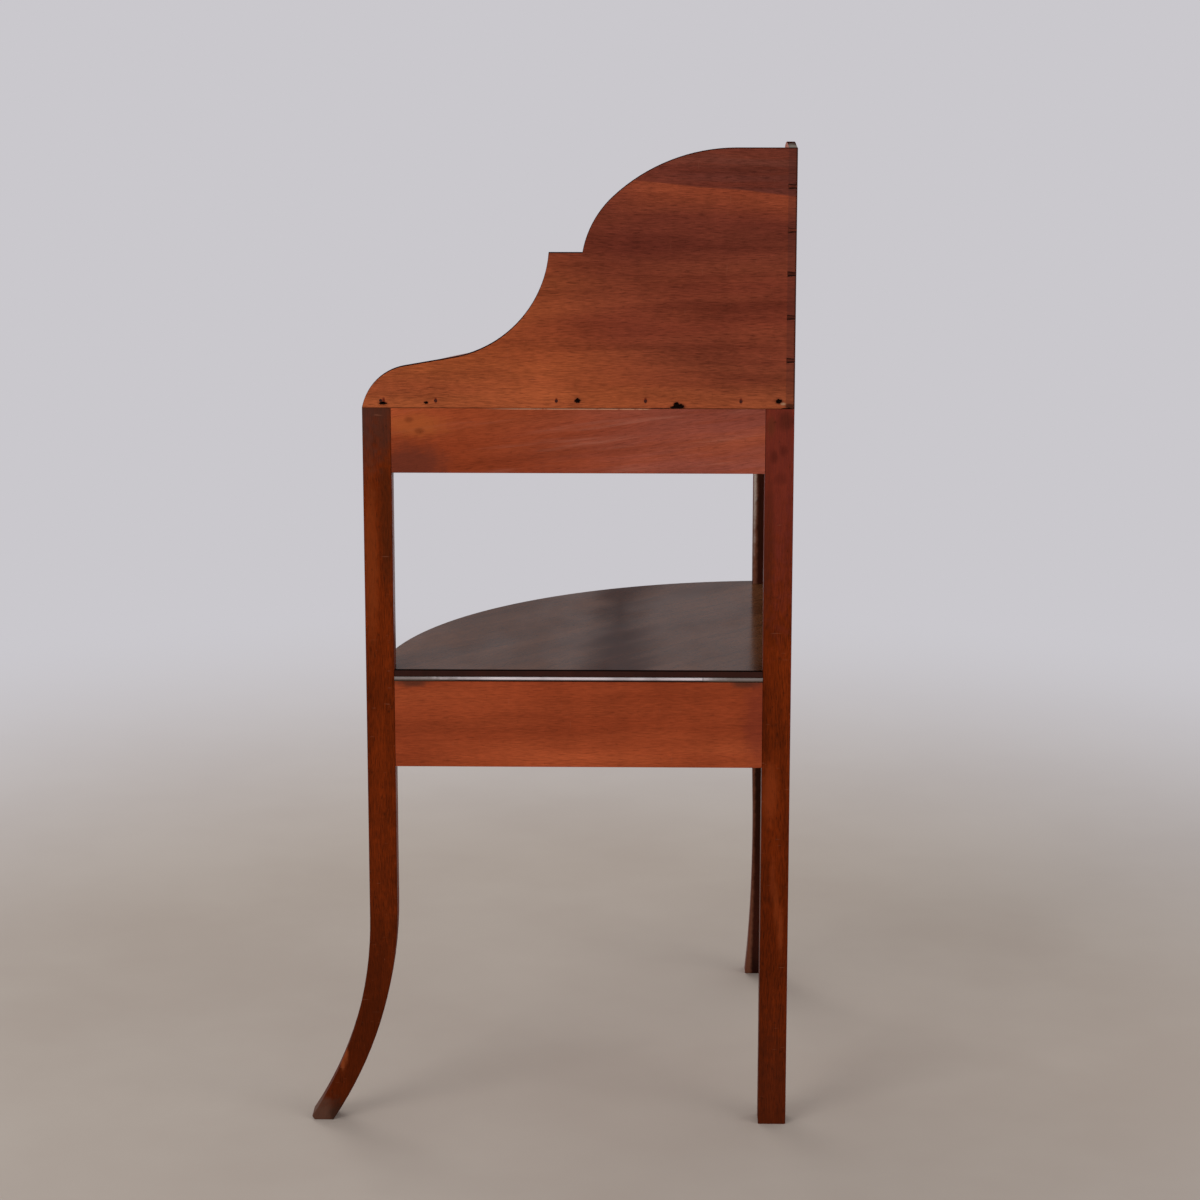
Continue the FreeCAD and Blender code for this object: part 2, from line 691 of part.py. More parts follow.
def case_fittings():
    """What guides, holds down and stops the drawer, and the cleats that hold the case's bottom."""
    start = DRAWER_BACK
    inner = FRONT_RADIUS - mm.panel_thickness
    end = root(inner * inner - GUIDE_OUTER * GUIDE_OUTER)
    kicker_end = root((FRONT_RADIUS - mm.case_top_rail_width) * (FRONT_RADIUS - mm.case_top_rail_width)
                      - HALF_DRAWER * HALF_DRAWER)
    stop_end = DRAWER_BACK - mm.drawer_run_gap
    half_stop = mm.stop_size / 2
    cleat = (GUIDE_OUTER / SLANT + mm.rail_thickness + mm.cleat_size + mm.cleat_clearance,
             LEG_INNER - mm.cleat_clearance)
    stops = []
    for side, sign in (("left", 1), ("right", -1)):
        def across(low, high):
            return (low, high) if sign > 0 else (-high, -low)

        sub_part(bar(f"drawer_guide_{side}", (start, end), across(GUIDE_INNER, GUIDE_OUTER),
                     (DRAWER_FLOOR, DRAWER_FLOOR + mm.guide_height)))
        sub_part(bar(f"drawer_kicker_{side}", (start, kicker_end),
                     across(HALF_DRAWER - mm.kicker_width, HALF_DRAWER),
                     (DRAWER_SIDE_TOP + mm.drawer_front_gap, SHELF_UNDERSIDE)))
        stops.append(bar(f"stop_{side}", (stop_end - mm.stop_size, stop_end),
                         across(mm.stop_place - half_stop, mm.stop_place + half_stop),
                         (DRAWER_FLOOR, DRAWER_FLOOR + mm.stop_size)))
        sub_part(block(f"case_cleat_{side}", side, cleat,
                       (mm.rail_thickness, mm.rail_thickness + mm.cleat_size),
                       (DRAWER_FLOOR, DRAWER_FLOOR + mm.cleat_size)))
    sub_part(separate("drawer_stops", stops))


def fixed_front_region(name, side, outer, inner, inset):
    """The part of the bowed front between the drawer opening and a leg, drawn in by the inset."""
    up = (DRAWER_FLOOR + inset, DRAWER_CEILING - inset)
    ring = bow(name, outer, inner, up, mm.leg_width + inset)
    span = (HALF_OPENING + inset, mm.side_length)
    across = span if side == "left" else (-span[1], -span[0])
    beside = bar(name + "_beside", (ZERO, outer), across, up)
    return group("MultiCommon", name + "_region", [ring, beside])


def fixed_front(side, knob):
    """A fixed front beside the drawer, finished like a drawer with its own cockbead."""
    name = f"front_panel_{side}"
    inner = FRONT_RADIUS - mm.panel_thickness
    plain = fixed_front_region(name, side, FRONT_RADIUS, inner, ZERO)
    tenon = front_tenon(name + "_tenon", side, mm.stub_length,
                        (DRAWER_FLOOR + mm.tenon_shoulder, DRAWER_CEILING - mm.tenon_shoulder))
    bead_name = f"panel_cockbead_{side}"
    proud = FRONT_RADIUS + mm.cockbead_proud
    sunk = proud - mm.cockbead_depth
    outside = fixed_front_region(bead_name + "_outside", side, proud, sunk, mm.cockbead_inset)
    inside = fixed_front_region(bead_name + "_inside", side, proud + mm.overrun, sunk - mm.overrun,
                                mm.cockbead_inset + mm.cockbead_thickness)
    bead = sub_part(cut(bead_name, outside, [inside]))
    whole = group("MultiFuse", name + "_tenoned", [plain, tenon])
    sub_part(cut(name, whole, [bead, knob]))
    return tenon


def knob_outline(thickness):
    """Half section of a knob: dome, rim, neck, rose, and a post through a front of that thickness."""
    face = FRONT_RADIUS
    rose = face + mm.rose_thickness
    rim = rose + mm.neck_length
    dome = rim + mm.knob_rim
    inside = face - thickness - mm.post_overrun
    return [
        (inside, ZERO),
        (dome + mm.knob_dome, ZERO, curved("left", mm.knob_dome_radius)),
        (dome, mm.knob_radius),
        (rim, mm.knob_radius),
        (rim, mm.neck_radius),
        (rose, mm.neck_radius),
        (rose, mm.rose_radius),
        (face, mm.rose_radius),
        (face, mm.post_radius),
        (inside, mm.post_radius),
    ]


def nut_outline(thickness):
    """Half section of a nut that bears on the hollow inner face of a bowed front."""
    hollow = FRONT_RADIUS - thickness
    inner = root(hollow * hollow - mm.nut_radius * mm.nut_radius)
    return [
        (inner - mm.nut_thickness, mm.post_radius),
        (inner, mm.post_radius),
        (inner, mm.nut_radius),
        (inner - mm.nut_thickness, mm.nut_radius),
    ]


def knob_and_nut(knob_name, nut_name, turn, thickness):
    level = (DRAWER_FLOOR + DRAWER_CEILING) / 2
    knob = sub_part(turned(knob_name, turn, level, knob_outline(thickness)))
    nut = sub_part(turned(nut_name, turn, level, nut_outline(thickness)))
    return knob, nut


def tail_comb(name, root_place, tip_place, across):
    """Dovetails on a strip: the strip lies inside a drawer side, the tails stand past its end."""
    away = 1 if tip_place.value > root_place.value else -1
    strip = root_place - mm.tail_comb_strip * away
    low, high = DRAWER_LOW + mm.tail_comb_strip, DRAWER_SIDE_TOP - mm.tail_comb_strip / 2
    outline = [(strip, low), (root_place, low)]
    for share in TAIL_PLACE_SHARES:
        middle = DRAWER_LOW + mm.drawer_side_height * share
        narrow = mm.tail_half_width - mm.tail_flare
        outline += [
            (root_place, middle - narrow),
            (tip_place, middle - mm.tail_half_width),
            (tip_place, middle + mm.tail_half_width),
            (root_place, middle + narrow),
        ]
    outline += [(root_place, high), (strip, high)]
    start = across[0]
    return padded(name, DIAGONAL_TURN, "XZ_Plane", outline, across[1] - across[0], True,
                  CORNER - start * SLANT, -CORNER - start * SLANT)


def drawer_side(side, bottom):
    """A drawer side whose front end follows the bowed front, dovetailed at both ends."""
    name = f"drawer_side_{side}"
    inner = HALF_DRAWER - mm.drawer_side_thickness
    across = (inner, HALF_DRAWER) if side == "left" else (-HALF_DRAWER, -inner)
    up = (DRAWER_LOW, DRAWER_SIDE_TOP)
    back_end = DRAWER_BACK + mm.drawer_side_thickness
    plain = bar(name + "_plain", (back_end, FRONT_RADIUS), across, up)
    inside = disc(name + "_inside", DRAWER_FRONT_INNER, up)
    core = group("MultiCommon", name + "_core", [plain, inside])
    front_face = root(DRAWER_FRONT_INNER * DRAWER_FRONT_INNER - HALF_DRAWER * HALF_DRAWER)
    front_tails = tail_comb(name + "_front_tails", front_face, front_face + mm.tail_length, across)
    back_tails = tail_comb(name + "_back_tails", back_end, DRAWER_BACK, across)
    whole = group("MultiFuse", name + "_whole", [core, front_tails, back_tails])
    return sub_part(cut(name, whole, [bottom]))


def drawer(knob):
    across = (-HALF_DRAWER, HALF_DRAWER)
    bottom_low = DRAWER_LOW + mm.drawer_bottom_rise
    bottom_top = bottom_low + mm.drawer_bottom_thickness
    half_bottom = HALF_DRAWER - mm.drawer_side_thickness + mm.groove_depth
    bottom_plain = bar("drawer_bottom_plain", (DRAWER_BACK, FRONT_RADIUS), (-half_bottom, half_bottom),
                       (bottom_low, bottom_top))
    bottom_round = disc("drawer_bottom_round", DRAWER_FRONT_INNER + mm.groove_depth,
                        (bottom_low, bottom_top))
    bottom = sub_part(group("MultiCommon", "drawer_bottom", [bottom_plain, bottom_round]))
    sides = [drawer_side(side, bottom) for side in SIDES]

    up = (DRAWER_FRONT_LOW, DRAWER_FRONT_TOP)
    ring = bow("drawer_front", FRONT_RADIUS, DRAWER_FRONT_INNER, up, mm.leg_width)
    width = bar("drawer_front_width", (ZERO, FRONT_RADIUS + mm.overrun), across, up)
    plain = group("MultiCommon", "drawer_front_plain", [ring, width])

    proud = FRONT_RADIUS + mm.cockbead_proud
    edge = mm.cockbead_thickness
    rim = bow("drawer_cockbead", proud, proud - mm.cockbead_depth, up, mm.leg_width)
    rim_width = bar("drawer_cockbead_width", (ZERO, proud + mm.overrun), across, up)
    hollow = bar("drawer_cockbead_hollow", (ZERO, proud + mm.overrun),
                 (edge - HALF_DRAWER, HALF_DRAWER - edge), (up[0] + edge, up[1] - edge))
    band = group("MultiCommon", "drawer_cockbead_band", [rim, rim_width])
    bead = sub_part(cut("drawer_cockbead", band, [hollow]))
    sub_part(cut("drawer_front", plain, [bead, knob, bottom, *sides]))

    back = bar("drawer_back_plain", (DRAWER_BACK, DRAWER_BACK + mm.drawer_side_thickness), across,
               (bottom_top, DRAWER_SIDE_TOP - mm.drawer_back_drop))
    sub_part(cut("drawer_back", back, sides))


def build():
    """Makes every sub-part. A joint's two halves are cut from the same shape, so they always fit."""
    post_joints = []
    leg_joints = {side: [] for side in SIDES}
    rails = {"upper_rail": (UPPER_RAIL_LOW, mm.top_level), "mid_rail": (CASE_LOW, CASE_TOP)}
    for name, up in rails.items():
        for side in SIDES:
            _, to_post, to_leg = straight_rail(f"{name}_{side}", side, up)
            post_joints.append(to_post)
            leg_joints[side].append(to_leg)

    bowed_rails = {
        "frieze_front": (mm.frieze_thickness, mm.tenon_length, rails["upper_rail"],
                         mm.tenon_shoulder),
        "case_top_rail": (mm.case_top_rail_width, mm.stub_length, (DRAWER_CEILING, CASE_TOP),
                          mm.case_top_rail_height / 4),
    }
    for name, (thickness, length, up, shoulder) in bowed_rails.items():
        ring = bow(name, FRONT_RADIUS, FRONT_RADIUS - thickness, up, mm.leg_width)
        tenons = [front_tenon(f"{name}_{side}_tenon", side, length, (up[0] + shoulder, up[1] - shoulder))
                  for side in SIDES]
        sub_part(group("MultiFuse", name, [ring, *tenons]))
        for side, tenon in zip(SIDES, tenons):
            leg_joints[side].append(tenon)

    for side, sign in (("left", 1), ("right", -1)):
        turn = DIAGONAL_TURN + SIZES["panel_knob_turn"] * sign
        knob, _ = knob_and_nut(f"panel_knob_{side}", f"panel_knob_nut_{side}", turn, mm.panel_thickness)
        leg_joints[side].append(fixed_front(side, knob))

    sub_part(cut("corner_post", corner_post(), post_joints))
    for side in SIDES:
        sub_part(cut(f"leg_{side}", sabre_leg(side), leg_joints[side]))

    nails = {side: backboard_nails(side) for side in SIDES}
    blocks, screws = screw_blocks()
    sub_part(separate("backboard_nails", nails["left"] + nails["right"]))
    sub_part(separate("washtop_blocks", blocks))
    sub_part(separate("washtop_screws", screws))
    washtop(nails["left"] + nails["right"] + screws)

    pins = dovetail_pins()
    sub_part(cut("backboard_left", backboard("left", ZERO), pins + nails["left"]))
    pinned = group("MultiFuse", "backboard_right_pinned", [backboard("right", mm.board_thickness), *pins])
    sub_part(cut("backboard_right", pinned, nails["right"]))

    middle_shelf()
    shelf_beads()
    case_bottom()
    case_fittings()
    knob, _ = knob_and_nut("drawer_knob", "drawer_knob_nut", DIAGONAL_TURN, mm.drawer_front_thickness)
    drawer(knob)


def check():
    """Stops if the document holds a failed object or a sub-part without a valid solid."""
    doc.recompute()
    for thing in doc.Objects:
        if {"Invalid", "Error"} & set(thing.State):
            raise RuntimeError(f"{thing.Name} failed: {thing.State}")
    for thing in sub_parts:
        shape = thing.Shape
        if shape.isNull() or not shape.isValid() or not shape.Solids:
            raise RuntimeError(f"{thing.Label} has no valid solid")


build()
check()
os.makedirs("parts", exist_ok=True)
for thing in sub_parts:
    thing.Shape.exportStep(f"parts/{thing.Label}.step")
    box = thing.Shape.BoundBox
    print(f"{thing.Label}: {len(thing.Shape.Solids)} solid(s), {thing.Shape.Volume / 1000:.1f} cm3, "
          f"z {box.ZMin:.1f} to {box.ZMax:.1f}")
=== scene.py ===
# Looks of the corner washstand: worn copies of its wooden pieces with their woods, its turned brass
# knobs, its iron, and a plain studio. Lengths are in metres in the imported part's frame: +Z is up, the
# floor is z = 0, the corner post's outer corner lies at +X -Y and the bowed front faces -X +Y.
import json
import math

import bmesh
import bpy
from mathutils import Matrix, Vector, noise


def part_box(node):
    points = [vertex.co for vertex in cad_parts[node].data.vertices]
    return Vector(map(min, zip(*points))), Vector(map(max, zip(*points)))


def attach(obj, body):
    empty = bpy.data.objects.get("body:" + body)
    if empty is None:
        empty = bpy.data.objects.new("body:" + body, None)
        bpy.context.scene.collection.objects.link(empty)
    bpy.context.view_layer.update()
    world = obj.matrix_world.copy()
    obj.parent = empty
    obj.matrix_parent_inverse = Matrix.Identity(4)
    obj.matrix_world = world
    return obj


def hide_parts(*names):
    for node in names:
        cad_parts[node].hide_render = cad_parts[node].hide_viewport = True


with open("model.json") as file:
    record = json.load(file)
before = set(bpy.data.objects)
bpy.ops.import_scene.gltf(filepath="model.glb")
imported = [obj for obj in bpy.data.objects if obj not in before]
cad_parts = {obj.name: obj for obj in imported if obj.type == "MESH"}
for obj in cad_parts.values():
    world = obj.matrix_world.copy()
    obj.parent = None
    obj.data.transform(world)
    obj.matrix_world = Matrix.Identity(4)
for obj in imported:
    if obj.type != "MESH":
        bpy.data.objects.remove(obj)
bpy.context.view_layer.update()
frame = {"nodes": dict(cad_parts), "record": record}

MM = 0.001
SLANT = math.sqrt(0.5)

# Places read from the frame
POST_LOW, POST_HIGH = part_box("corner_post")
CORNER = Vector((POST_HIGH.x, POST_LOW.y, 0.0))
TOP_LEVEL = POST_HIGH.z
BOARD_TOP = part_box("backboard_left")[1].z
UPPER_RAIL_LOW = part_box("upper_rail_left")[0].z
CASE_LOW, CASE_TOP = (corner.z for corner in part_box("mid_rail_left"))
FRONT_RADIUS = (Vector(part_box("frieze_front")[0]) - CORNER).xy.length

RECORD = frame["record"]
SLOT_OF = {piece["node"]: piece["material_slot"] for piece in RECORD["subparts"]}
BODY_OF = {node: body for body, nodes in RECORD["behaviour"]["bodies"].items() for node in nodes}


def tint(red, green, blue):
    """A colour, told as a screen shows it, as the linear numbers that a shader takes."""
    def linear(part):
        share = part / 255
        return share / 12.92 if share <= 0.04045 else ((share + 0.055) / 1.055) ** 2.4

    return linear(red), linear(green), linear(blue), 1.0


def spot(along, inward, up):
    """A point told from the corner: along the left wall, into the stand, and up from the floor."""
    return Vector((CORNER.x - along, CORNER.y + inward, up))


def across(start, end):
    """A span of x, told as two distances from the corner."""
    return CORNER.x - start, CORNER.x - end


def mark(along, up, half_width, half_height, colour, strength, inward=0.0, half_depth=20 * MM):
    """One of a wood's stains: its centre, its half sizes, its colour and its strength."""
    return spot(along, inward, up), (half_width, half_depth, half_height), colour, strength


# Woods, each as light, dark, streak and pore
BACK_TONES = (tint(173, 87, 47), tint(150, 69, 39), tint(119, 50, 27), tint(85, 33, 18))
RAIL_TONES = (tint(184, 87, 50), tint(150, 64, 35), tint(122, 47, 24), tint(90, 34, 18))
LEG_TONES = (tint(114, 40, 8), tint(98, 32, 5), tint(78, 24, 4), tint(48, 14, 4))
# Tones that paint the shade on the right leg's face towards the post
PAINTED_SHADE_TONES = (tint(56, 20, 12), tint(40, 14, 8), tint(26, 9, 5), tint(16, 6, 4))
SHELF_TONES = (tint(90, 54, 32), tint(78, 45, 26), tint(60, 33, 19), tint(40, 22, 13))
FRONT_TONES = (tint(134, 60, 28), tint(106, 42, 18), tint(78, 28, 12), tint(52, 20, 10))
BEAD_TONES = (tint(50, 22, 16), tint(38, 16, 12), tint(28, 13, 10), tint(22, 10, 8))
EDGE_TONES = (tint(50, 20, 14), tint(40, 15, 10), tint(30, 12, 8), tint(22, 9, 7))
PIN_TONES = (tint(108, 50, 36), tint(84, 37, 27), tint(56, 25, 18), tint(30, 13, 10))
TORN_TONES = (tint(20, 11, 9), tint(30, 16, 12), tint(44, 22, 15), tint(14, 8, 6))
OAK_TONES = (tint(168, 134, 92), tint(148, 114, 74), tint(120, 88, 56), tint(92, 66, 42))
PINE_TONES = (tint(186, 150, 102), tint(164, 124, 78), tint(136, 96, 58), tint(112, 78, 48))
WARM_POLISH = (1.0, 0.5, 0.25, 1.0)
DUST = tint(92, 78, 68)
SCUFF = tint(158, 100, 76)
DENT = tint(42, 16, 8)

# What turns a wood's own colour into that of a part of it: factors for red, green and blue
FOOT_GAIN = (1.26, 1.46, 1.52)
REDDER_GAIN = (0.56, 0.52, 0.84)
UPPER_GAIN = (0.82, 0.82, 0.92)
STREAK_GAIN = (1.86, 1.95, 1.45)
BAND_GAIN = (0.93, 1.16, 1.36)
GREY_END_GAIN = (0.94, 1.3, 2.6)
# The shelf's painted dark reflection darkens its middle by these factors
SHELF_REFLECTION_GAIN = (0.5, 0.36, 0.26)

# The light streak near the left backboard's top: a point of it, from the corner and under the top,
# and its slope. Then the distance from the corner of the shelf's painted dark reflection.
STREAK_ALONG = 148.5 * MM
STREAK_DROP = 34 * MM
STREAK_SLOPE = 0.1
SHELF_REFLECTION_ALONG = 185 * MM

# The wood's figure, each kind with its changes in a metre along the fibres and twice across them,
# its detail, its roughness and its shift
FIGURE = {
    "bands": ((1.8, 13, 13), 3.0, 0.55, (0, 0, 0)),
    "streaks": ((5, 95, 95), 5.0, 0.62, (0, 0, 0)),
    "flecks": ((110, 700, 700), 3.0, 0.6, (0, 0, 0)),
    "fine": ((80, 1200, 1200), 3.0, 0.62, (0, 0, 0)),
    "clouds": ((6, 42, 42), 3.0, 0.55, (7, 3, 5)),
    "pores": ((75, 1250, 1250), 2.0, 0.5, (0, 0, 0)),
    "lustre": ((26, 6, 6), 3.0, 0.55, (0, 0, 0)),
}
# What four kinds add to the lightness: a low and a high value of the noise, and what each adds
LIGHTNESS = (
    ("fine", (0.3, 0.7), (-0.17, 0.17)),
    ("lustre", (0.3, 0.7), (-0.08, 0.08)),
    ("flecks", (0.36, 0.7), (0.08, -0.15)),
    ("clouds", (0.34, 0.66), (0.09, -0.1)),
)
# How often and how far the fibres sway, and how strongly the streaks and pores show
SWAY_SCALE = (2.4, 7.0, 7.0)
SWAY_WIDTH = 26 * MM
STREAK_STRENGTH = 0.42
PORE_STRENGTH = 0.55
# How the polish varies: less and more than a wood's own roughness, and what pores and dirt add
ROUGHNESS_BELOW = 0.07
ROUGHNESS_ABOVE = 0.09
PORE_ROUGHNESS = 0.16
DIRT_ROUGHNESS = 0.25
COAT_ROUGHNESS = 0.14
# The relief under the polish: the shares of fibres and pores in it, its strength and its height
FIBRE_SHARE = 0.6
PORE_SHARE = 0.9
RELIEF_STRENGTH = 0.35
RELIEF = 0.25 * MM

# Pits along the foot of the left backboard, three of them in one as a chip: distance from the corner,
# height over the foot, half width and half height
PIT_PLACES = (
    (428 * MM, 5.2 * MM, 4.2 * MM, 1.6 * MM),
    (383 * MM, 6.0 * MM, 2.2 * MM, 1.3 * MM),
    (225.5 * MM, 8.2 * MM, 2.8 * MM, 2.5 * MM),
    (122 * MM, 1.7 * MM, 7.0 * MM, 2.0 * MM),
    (118.5 * MM, 2.7 * MM, 3.8 * MM, 2.3 * MM),
    (16.5 * MM, 8.2 * MM, 3.4 * MM, 2.4 * MM),
    (122.8 * MM, 4.6 * MM, 2.9 * MM, 2.6 * MM),
)
PIT_DEPTH = 2.6 * MM
# The dark stain round each pit, as shares of the pit's half width and half height
STAIN_SHARES = (1.7, 1.8)
# Cracks in the same foot: start and end as distances from the corner, and half height
CRACKS = (
    (126 * MM, 152 * MM, 1.1 * MM),
    (1 * MM, 15 * MM, 1.5 * MM),
    (372 * MM, 381 * MM, 0.8 * MM),
)
CRACK_DEPTH = 2 * MM
FIRST_CRACK_SEED = 20
# How far the skin of a pit or crack swells and shrinks, and how often
SWELL = 0.6
SWELL_SCALE = 2.3
# Distances of the nails from the corner, and their height over the foot
NAIL_STAINS = (427 * MM, 373 * MM, 247.5 * MM, 154.8 * MM, 55.8 * MM)
NAIL_LEVEL = 8.5 * MM
# How dark the gaps are at the edges of the dovetails' pins, by turns from the lowest edge up
GAP_STRENGTHS = (0.35, 0.95)

# Knots, bruises and worn spots of the corner post, as mark() takes them
POST_MARKS = (
    (26 * MM, 640 * MM, 9 * MM, 110 * MM, tint(70, 28, 14), 0.5),
    (9 * MM, TOP_LEVEL - 12 * MM, 12 * MM, 13 * MM, tint(58, 24, 16), 0.5),
    (24 * MM, TOP_LEVEL - 18 * MM, 6 * MM, 16 * MM, tint(92, 46, 26), 0.5),
    (21 * MM, TOP_LEVEL - 50 * MM, 6 * MM, 10 * MM, tint(68, 22, 16), 0.5),
    (11 * MM, TOP_LEVEL - 44 * MM, 6 * MM, 8 * MM, tint(70, 22, 16), 0.45),
    (14 * MM, TOP_LEVEL - 74 * MM, 9 * MM, 9 * MM, tint(84, 30, 22), 0.45),
    (21 * MM, 376 * MM, 11 * MM, 46 * MM, tint(146, 60, 24), 0.5),
    (17 * MM, 278 * MM, 4 * MM, 34 * MM, tint(134, 54, 22), 0.4),
    (13 * MM, 250 * MM, 4 * MM, 32 * MM, tint(142, 60, 24), 0.4),
    (8 * MM, 222 * MM, 4 * MM, 34 * MM, tint(148, 64, 28), 0.4),
)
POST_MARK_DEPTH = 12 * MM

# How the worn copies are made. Points nearer than the first number join, and faces that meet at less
# than the flat angle become one. An edge sharper than the crisp angle stays crisp. An outer edge that
# is sharper than the eased angle, and long enough, is rounded by the easing.
JOIN_DISTANCE = 0.004 * MM
FLAT_ANGLE = math.radians(0.6)
CRISP_ANGLE = math.radians(34)
EASED_ANGLE = math.radians(50)
SHORTEST_EASED = 5 * MM
EASING = 0.4 * MM
SOFTER_EASING = 0.5 * MM
FINER_EASING = 0.3 * MM
# A face looks along an axis where its normal has more than this share of it. The right leg's inner
# face takes its rounded edges with it.
FACING_SHARE = 0.75
INNER_FACING_SHARE = 0.6
# A face this near to the corner's outer plane lies in it
OUTER_REACH = 1 * MM

# The studio. The camera's place and aim were worked out from the photograph's perspective.
CAMERA_PLACE = Vector((0.1179, -3.7811, 1.4077))
CAMERA_AIM = Vector((0.0564, -0.2585, 0.5859))
LENS_MM = 103.1
SENSOR_MM = 36.0
BACKDROP = tint(202, 200, 205)
SKY = (0.96, 0.97, 1.0, 1.0)
SKY_STRENGTH = 0.62
# Each lamp's place, size and power
LAMPS = {
    "key": ((-2.3, -3.1, 2.9), 2.0, 46.0),
    "fill": ((2.8, -2.2, 1.8), 2.0, 22.0),
    "room": ((-1.4, 2.9, 2.6), 2.2, 40.0),
}
LAMP_AIM = Vector((0, 0, 0.5))
# The floor's two tones, its size, its depth under the feet, and where it fades into the backdrop
FLOOR_TONES = (tint(179, 167, 156), tint(173, 160, 149))
FLOOR_RADIUS = 40.0
FLOOR_SIDES = 96
FLOOR_DROP = 0.05 * MM
FLOOR_FADE = (0.6, 2.2)


class Tree:
    """A node tree, with a short call for each kind of node that is used."""

    def __init__(self, owner):
        owner.use_nodes = True
        self.nodes = owner.node_tree.nodes
        self.links = owner.node_tree.links

    def put(self, socket, value):
        """Links the socket to another one, or sets it to a plain value."""
        if isinstance(value, bpy.types.NodeSocket):
            self.links.new(value, socket)
        else:
            socket.default_value = value

    def add(self, kind, values=None, **settings):
        node = self.nodes.new("ShaderNode" + kind)
        for name, setting in settings.items():
            setattr(node, name, setting)
        for key, value in (values or {}).items():
            self.put(node.inputs[key], value)
        return node

    def maths(self, operation, *values, clamp=False):
        node = self.add("Math", dict(enumerate(values)), operation=operation, use_clamp=clamp)
        return node.outputs[0]

    def plus(self, first, second, clamp=False):
        return self.maths("ADD", first, second, clamp=clamp)

    def minus(self, first, second):
        return self.maths("SUBTRACT", first, second)

    def times(self, first, second, clamp=False):
        return self.maths("MULTIPLY", first, second, clamp=clamp)

    def swing(self, value, width):
        """A noise moved to lie round zero, and widened."""
        return self.times(self.minus(value, 0.5), width)

    def split(self, vector):
        return self.add("SeparateXYZ", {0: vector}).outputs

    def join(self, x, y, z):
        return self.add("CombineXYZ", {0: x, 1: y, 2: z}).outputs[0]

    def stretch(self, vector, scale, shift=(0, 0, 0)):
        return self.add("Mapping", {"Vector": vector, "Scale": scale, "Location": shift}).outputs[0]

    def noise(self, vector, detail=2.0, roughness=0.5):
        values = {"Vector": vector, "Scale": 1.0, "Detail": detail, "Roughness": roughness}
        return self.add("TexNoise", values).outputs["Fac"]

    def ramp(self, value, low, high, start=0.0, end=1.0):
        """A smooth step from start to end as the value goes from low to high."""
        values = {"Value": value, "From Min": low, "From Max": high, "To Min": start, "To Max": end}
        return self.add("MapRange", values, interpolation_type="SMOOTHSTEP").outputs[0]

    def mix(self, share, first, second, blend="MIX"):
        node = self.add("Mix", data_type="RGBA", blend_type=blend)
        self.put(node.inputs[0], share)
        self.put(node.inputs[6], first)
        self.put(node.inputs[7], second)
        return node.outputs[2]

    def gain(self, share, colour, factors):
        """The colour with its red, green and blue each times a factor, as far as the share says."""
        return self.mix(share, colour, (*factors, 1.0), "MULTIPLY")

    def brighten(self, colour, factor):
        """The colour times a factor that is 1 where nothing changes."""
        return self.add("HueSaturation", {"Color": colour, "Value": factor}).outputs[0]

    def backdrop_share(self):
        """1 for a ray that shows the backdrop: from the camera, off gloss or through glass."""
        path = self.add("LightPath").outputs
        share = path["Is Camera Ray"]
        for kind in ("Is Glossy Ray", "Is Transmission Ray"):
            share = self.maths("MAXIMUM", share, path[kind])
        return share


class Material(Tree):
    """A material's nodes round its shader. Its place is the point in the frame."""

    def __init__(self, name):
        self.material = bpy.data.materials.new(name)
        super().__init__(self.material)
        self.shader = self.nodes["Principled BSDF"]
        self.place = self.add("TexCoord").outputs["Object"]

    def look(self, values):
        """Sets or links the shader's sockets by their names."""
        for name, value in values.items():
            self.put(self.shader.inputs[name], value)

    def bump(self, height, strength, distance):
        values = {"Strength": strength, "Distance": distance, "Height": height}
        return self.add("Bump", values).outputs[0]

    def blot(self, centre, radii, ragged=0.35, size=120.0):
        """A soft ragged patch round a point: 1 inside and 0 outside."""
        offset = self.add("VectorMath", {0: self.place, 1: centre}, operation="SUBTRACT").outputs[0]
        share = self.add("VectorMath", {0: offset, 1: radii}, operation="DIVIDE").outputs[0]
        reach = self.add("VectorMath", {0: share}, operation="LENGTH").outputs["Value"]
        rough = self.noise(self.stretch(self.place, (size, size, size), centre), 3.0, 0.6)
        return self.ramp(self.plus(reach, self.swing(rough, ragged * 2)), 0.3, 1.05, 1.0, 0.0)


def grain(tree, run, seed, tilt):
    """Coordinates whose X follows the fibres: along an axis, the front's bow or across the corner."""
    x, y, z = tree.split(tree.place)
    if run == "bow":
        east = tree.minus(CORNER.x, x)
        north = tree.minus(y, CORNER.y)
        along = tree.times(tree.maths("ARCTAN2", north, east), FRONT_RADIUS)
        side = z
        deep = tree.maths("SQRT", tree.plus(tree.times(east, east), tree.times(north, north)))
    elif run == "chord":
        along = tree.times(tree.plus(x, y), SLANT)
        side = tree.times(tree.minus(x, y), SLANT)
        deep = z
    else:
        along, side, deep = {"x": (x, z, y), "y": (y, z, x), "z": (z, x, y)}[run]
    straight = tree.join(along, side, deep)
    sway = tree.noise(tree.stretch(straight, SWAY_SCALE, (seed, seed * 2, seed * 3)))
    aside = tree.minus(tree.swing(sway, SWAY_WIDTH), tree.times(along, tilt))
    fibres = tree.join(along, tree.plus(side, aside), deep)
    return tree.stretch(fibres, (1, 1, 1), (seed * 1.7, seed * 2.3, seed * 3.1))


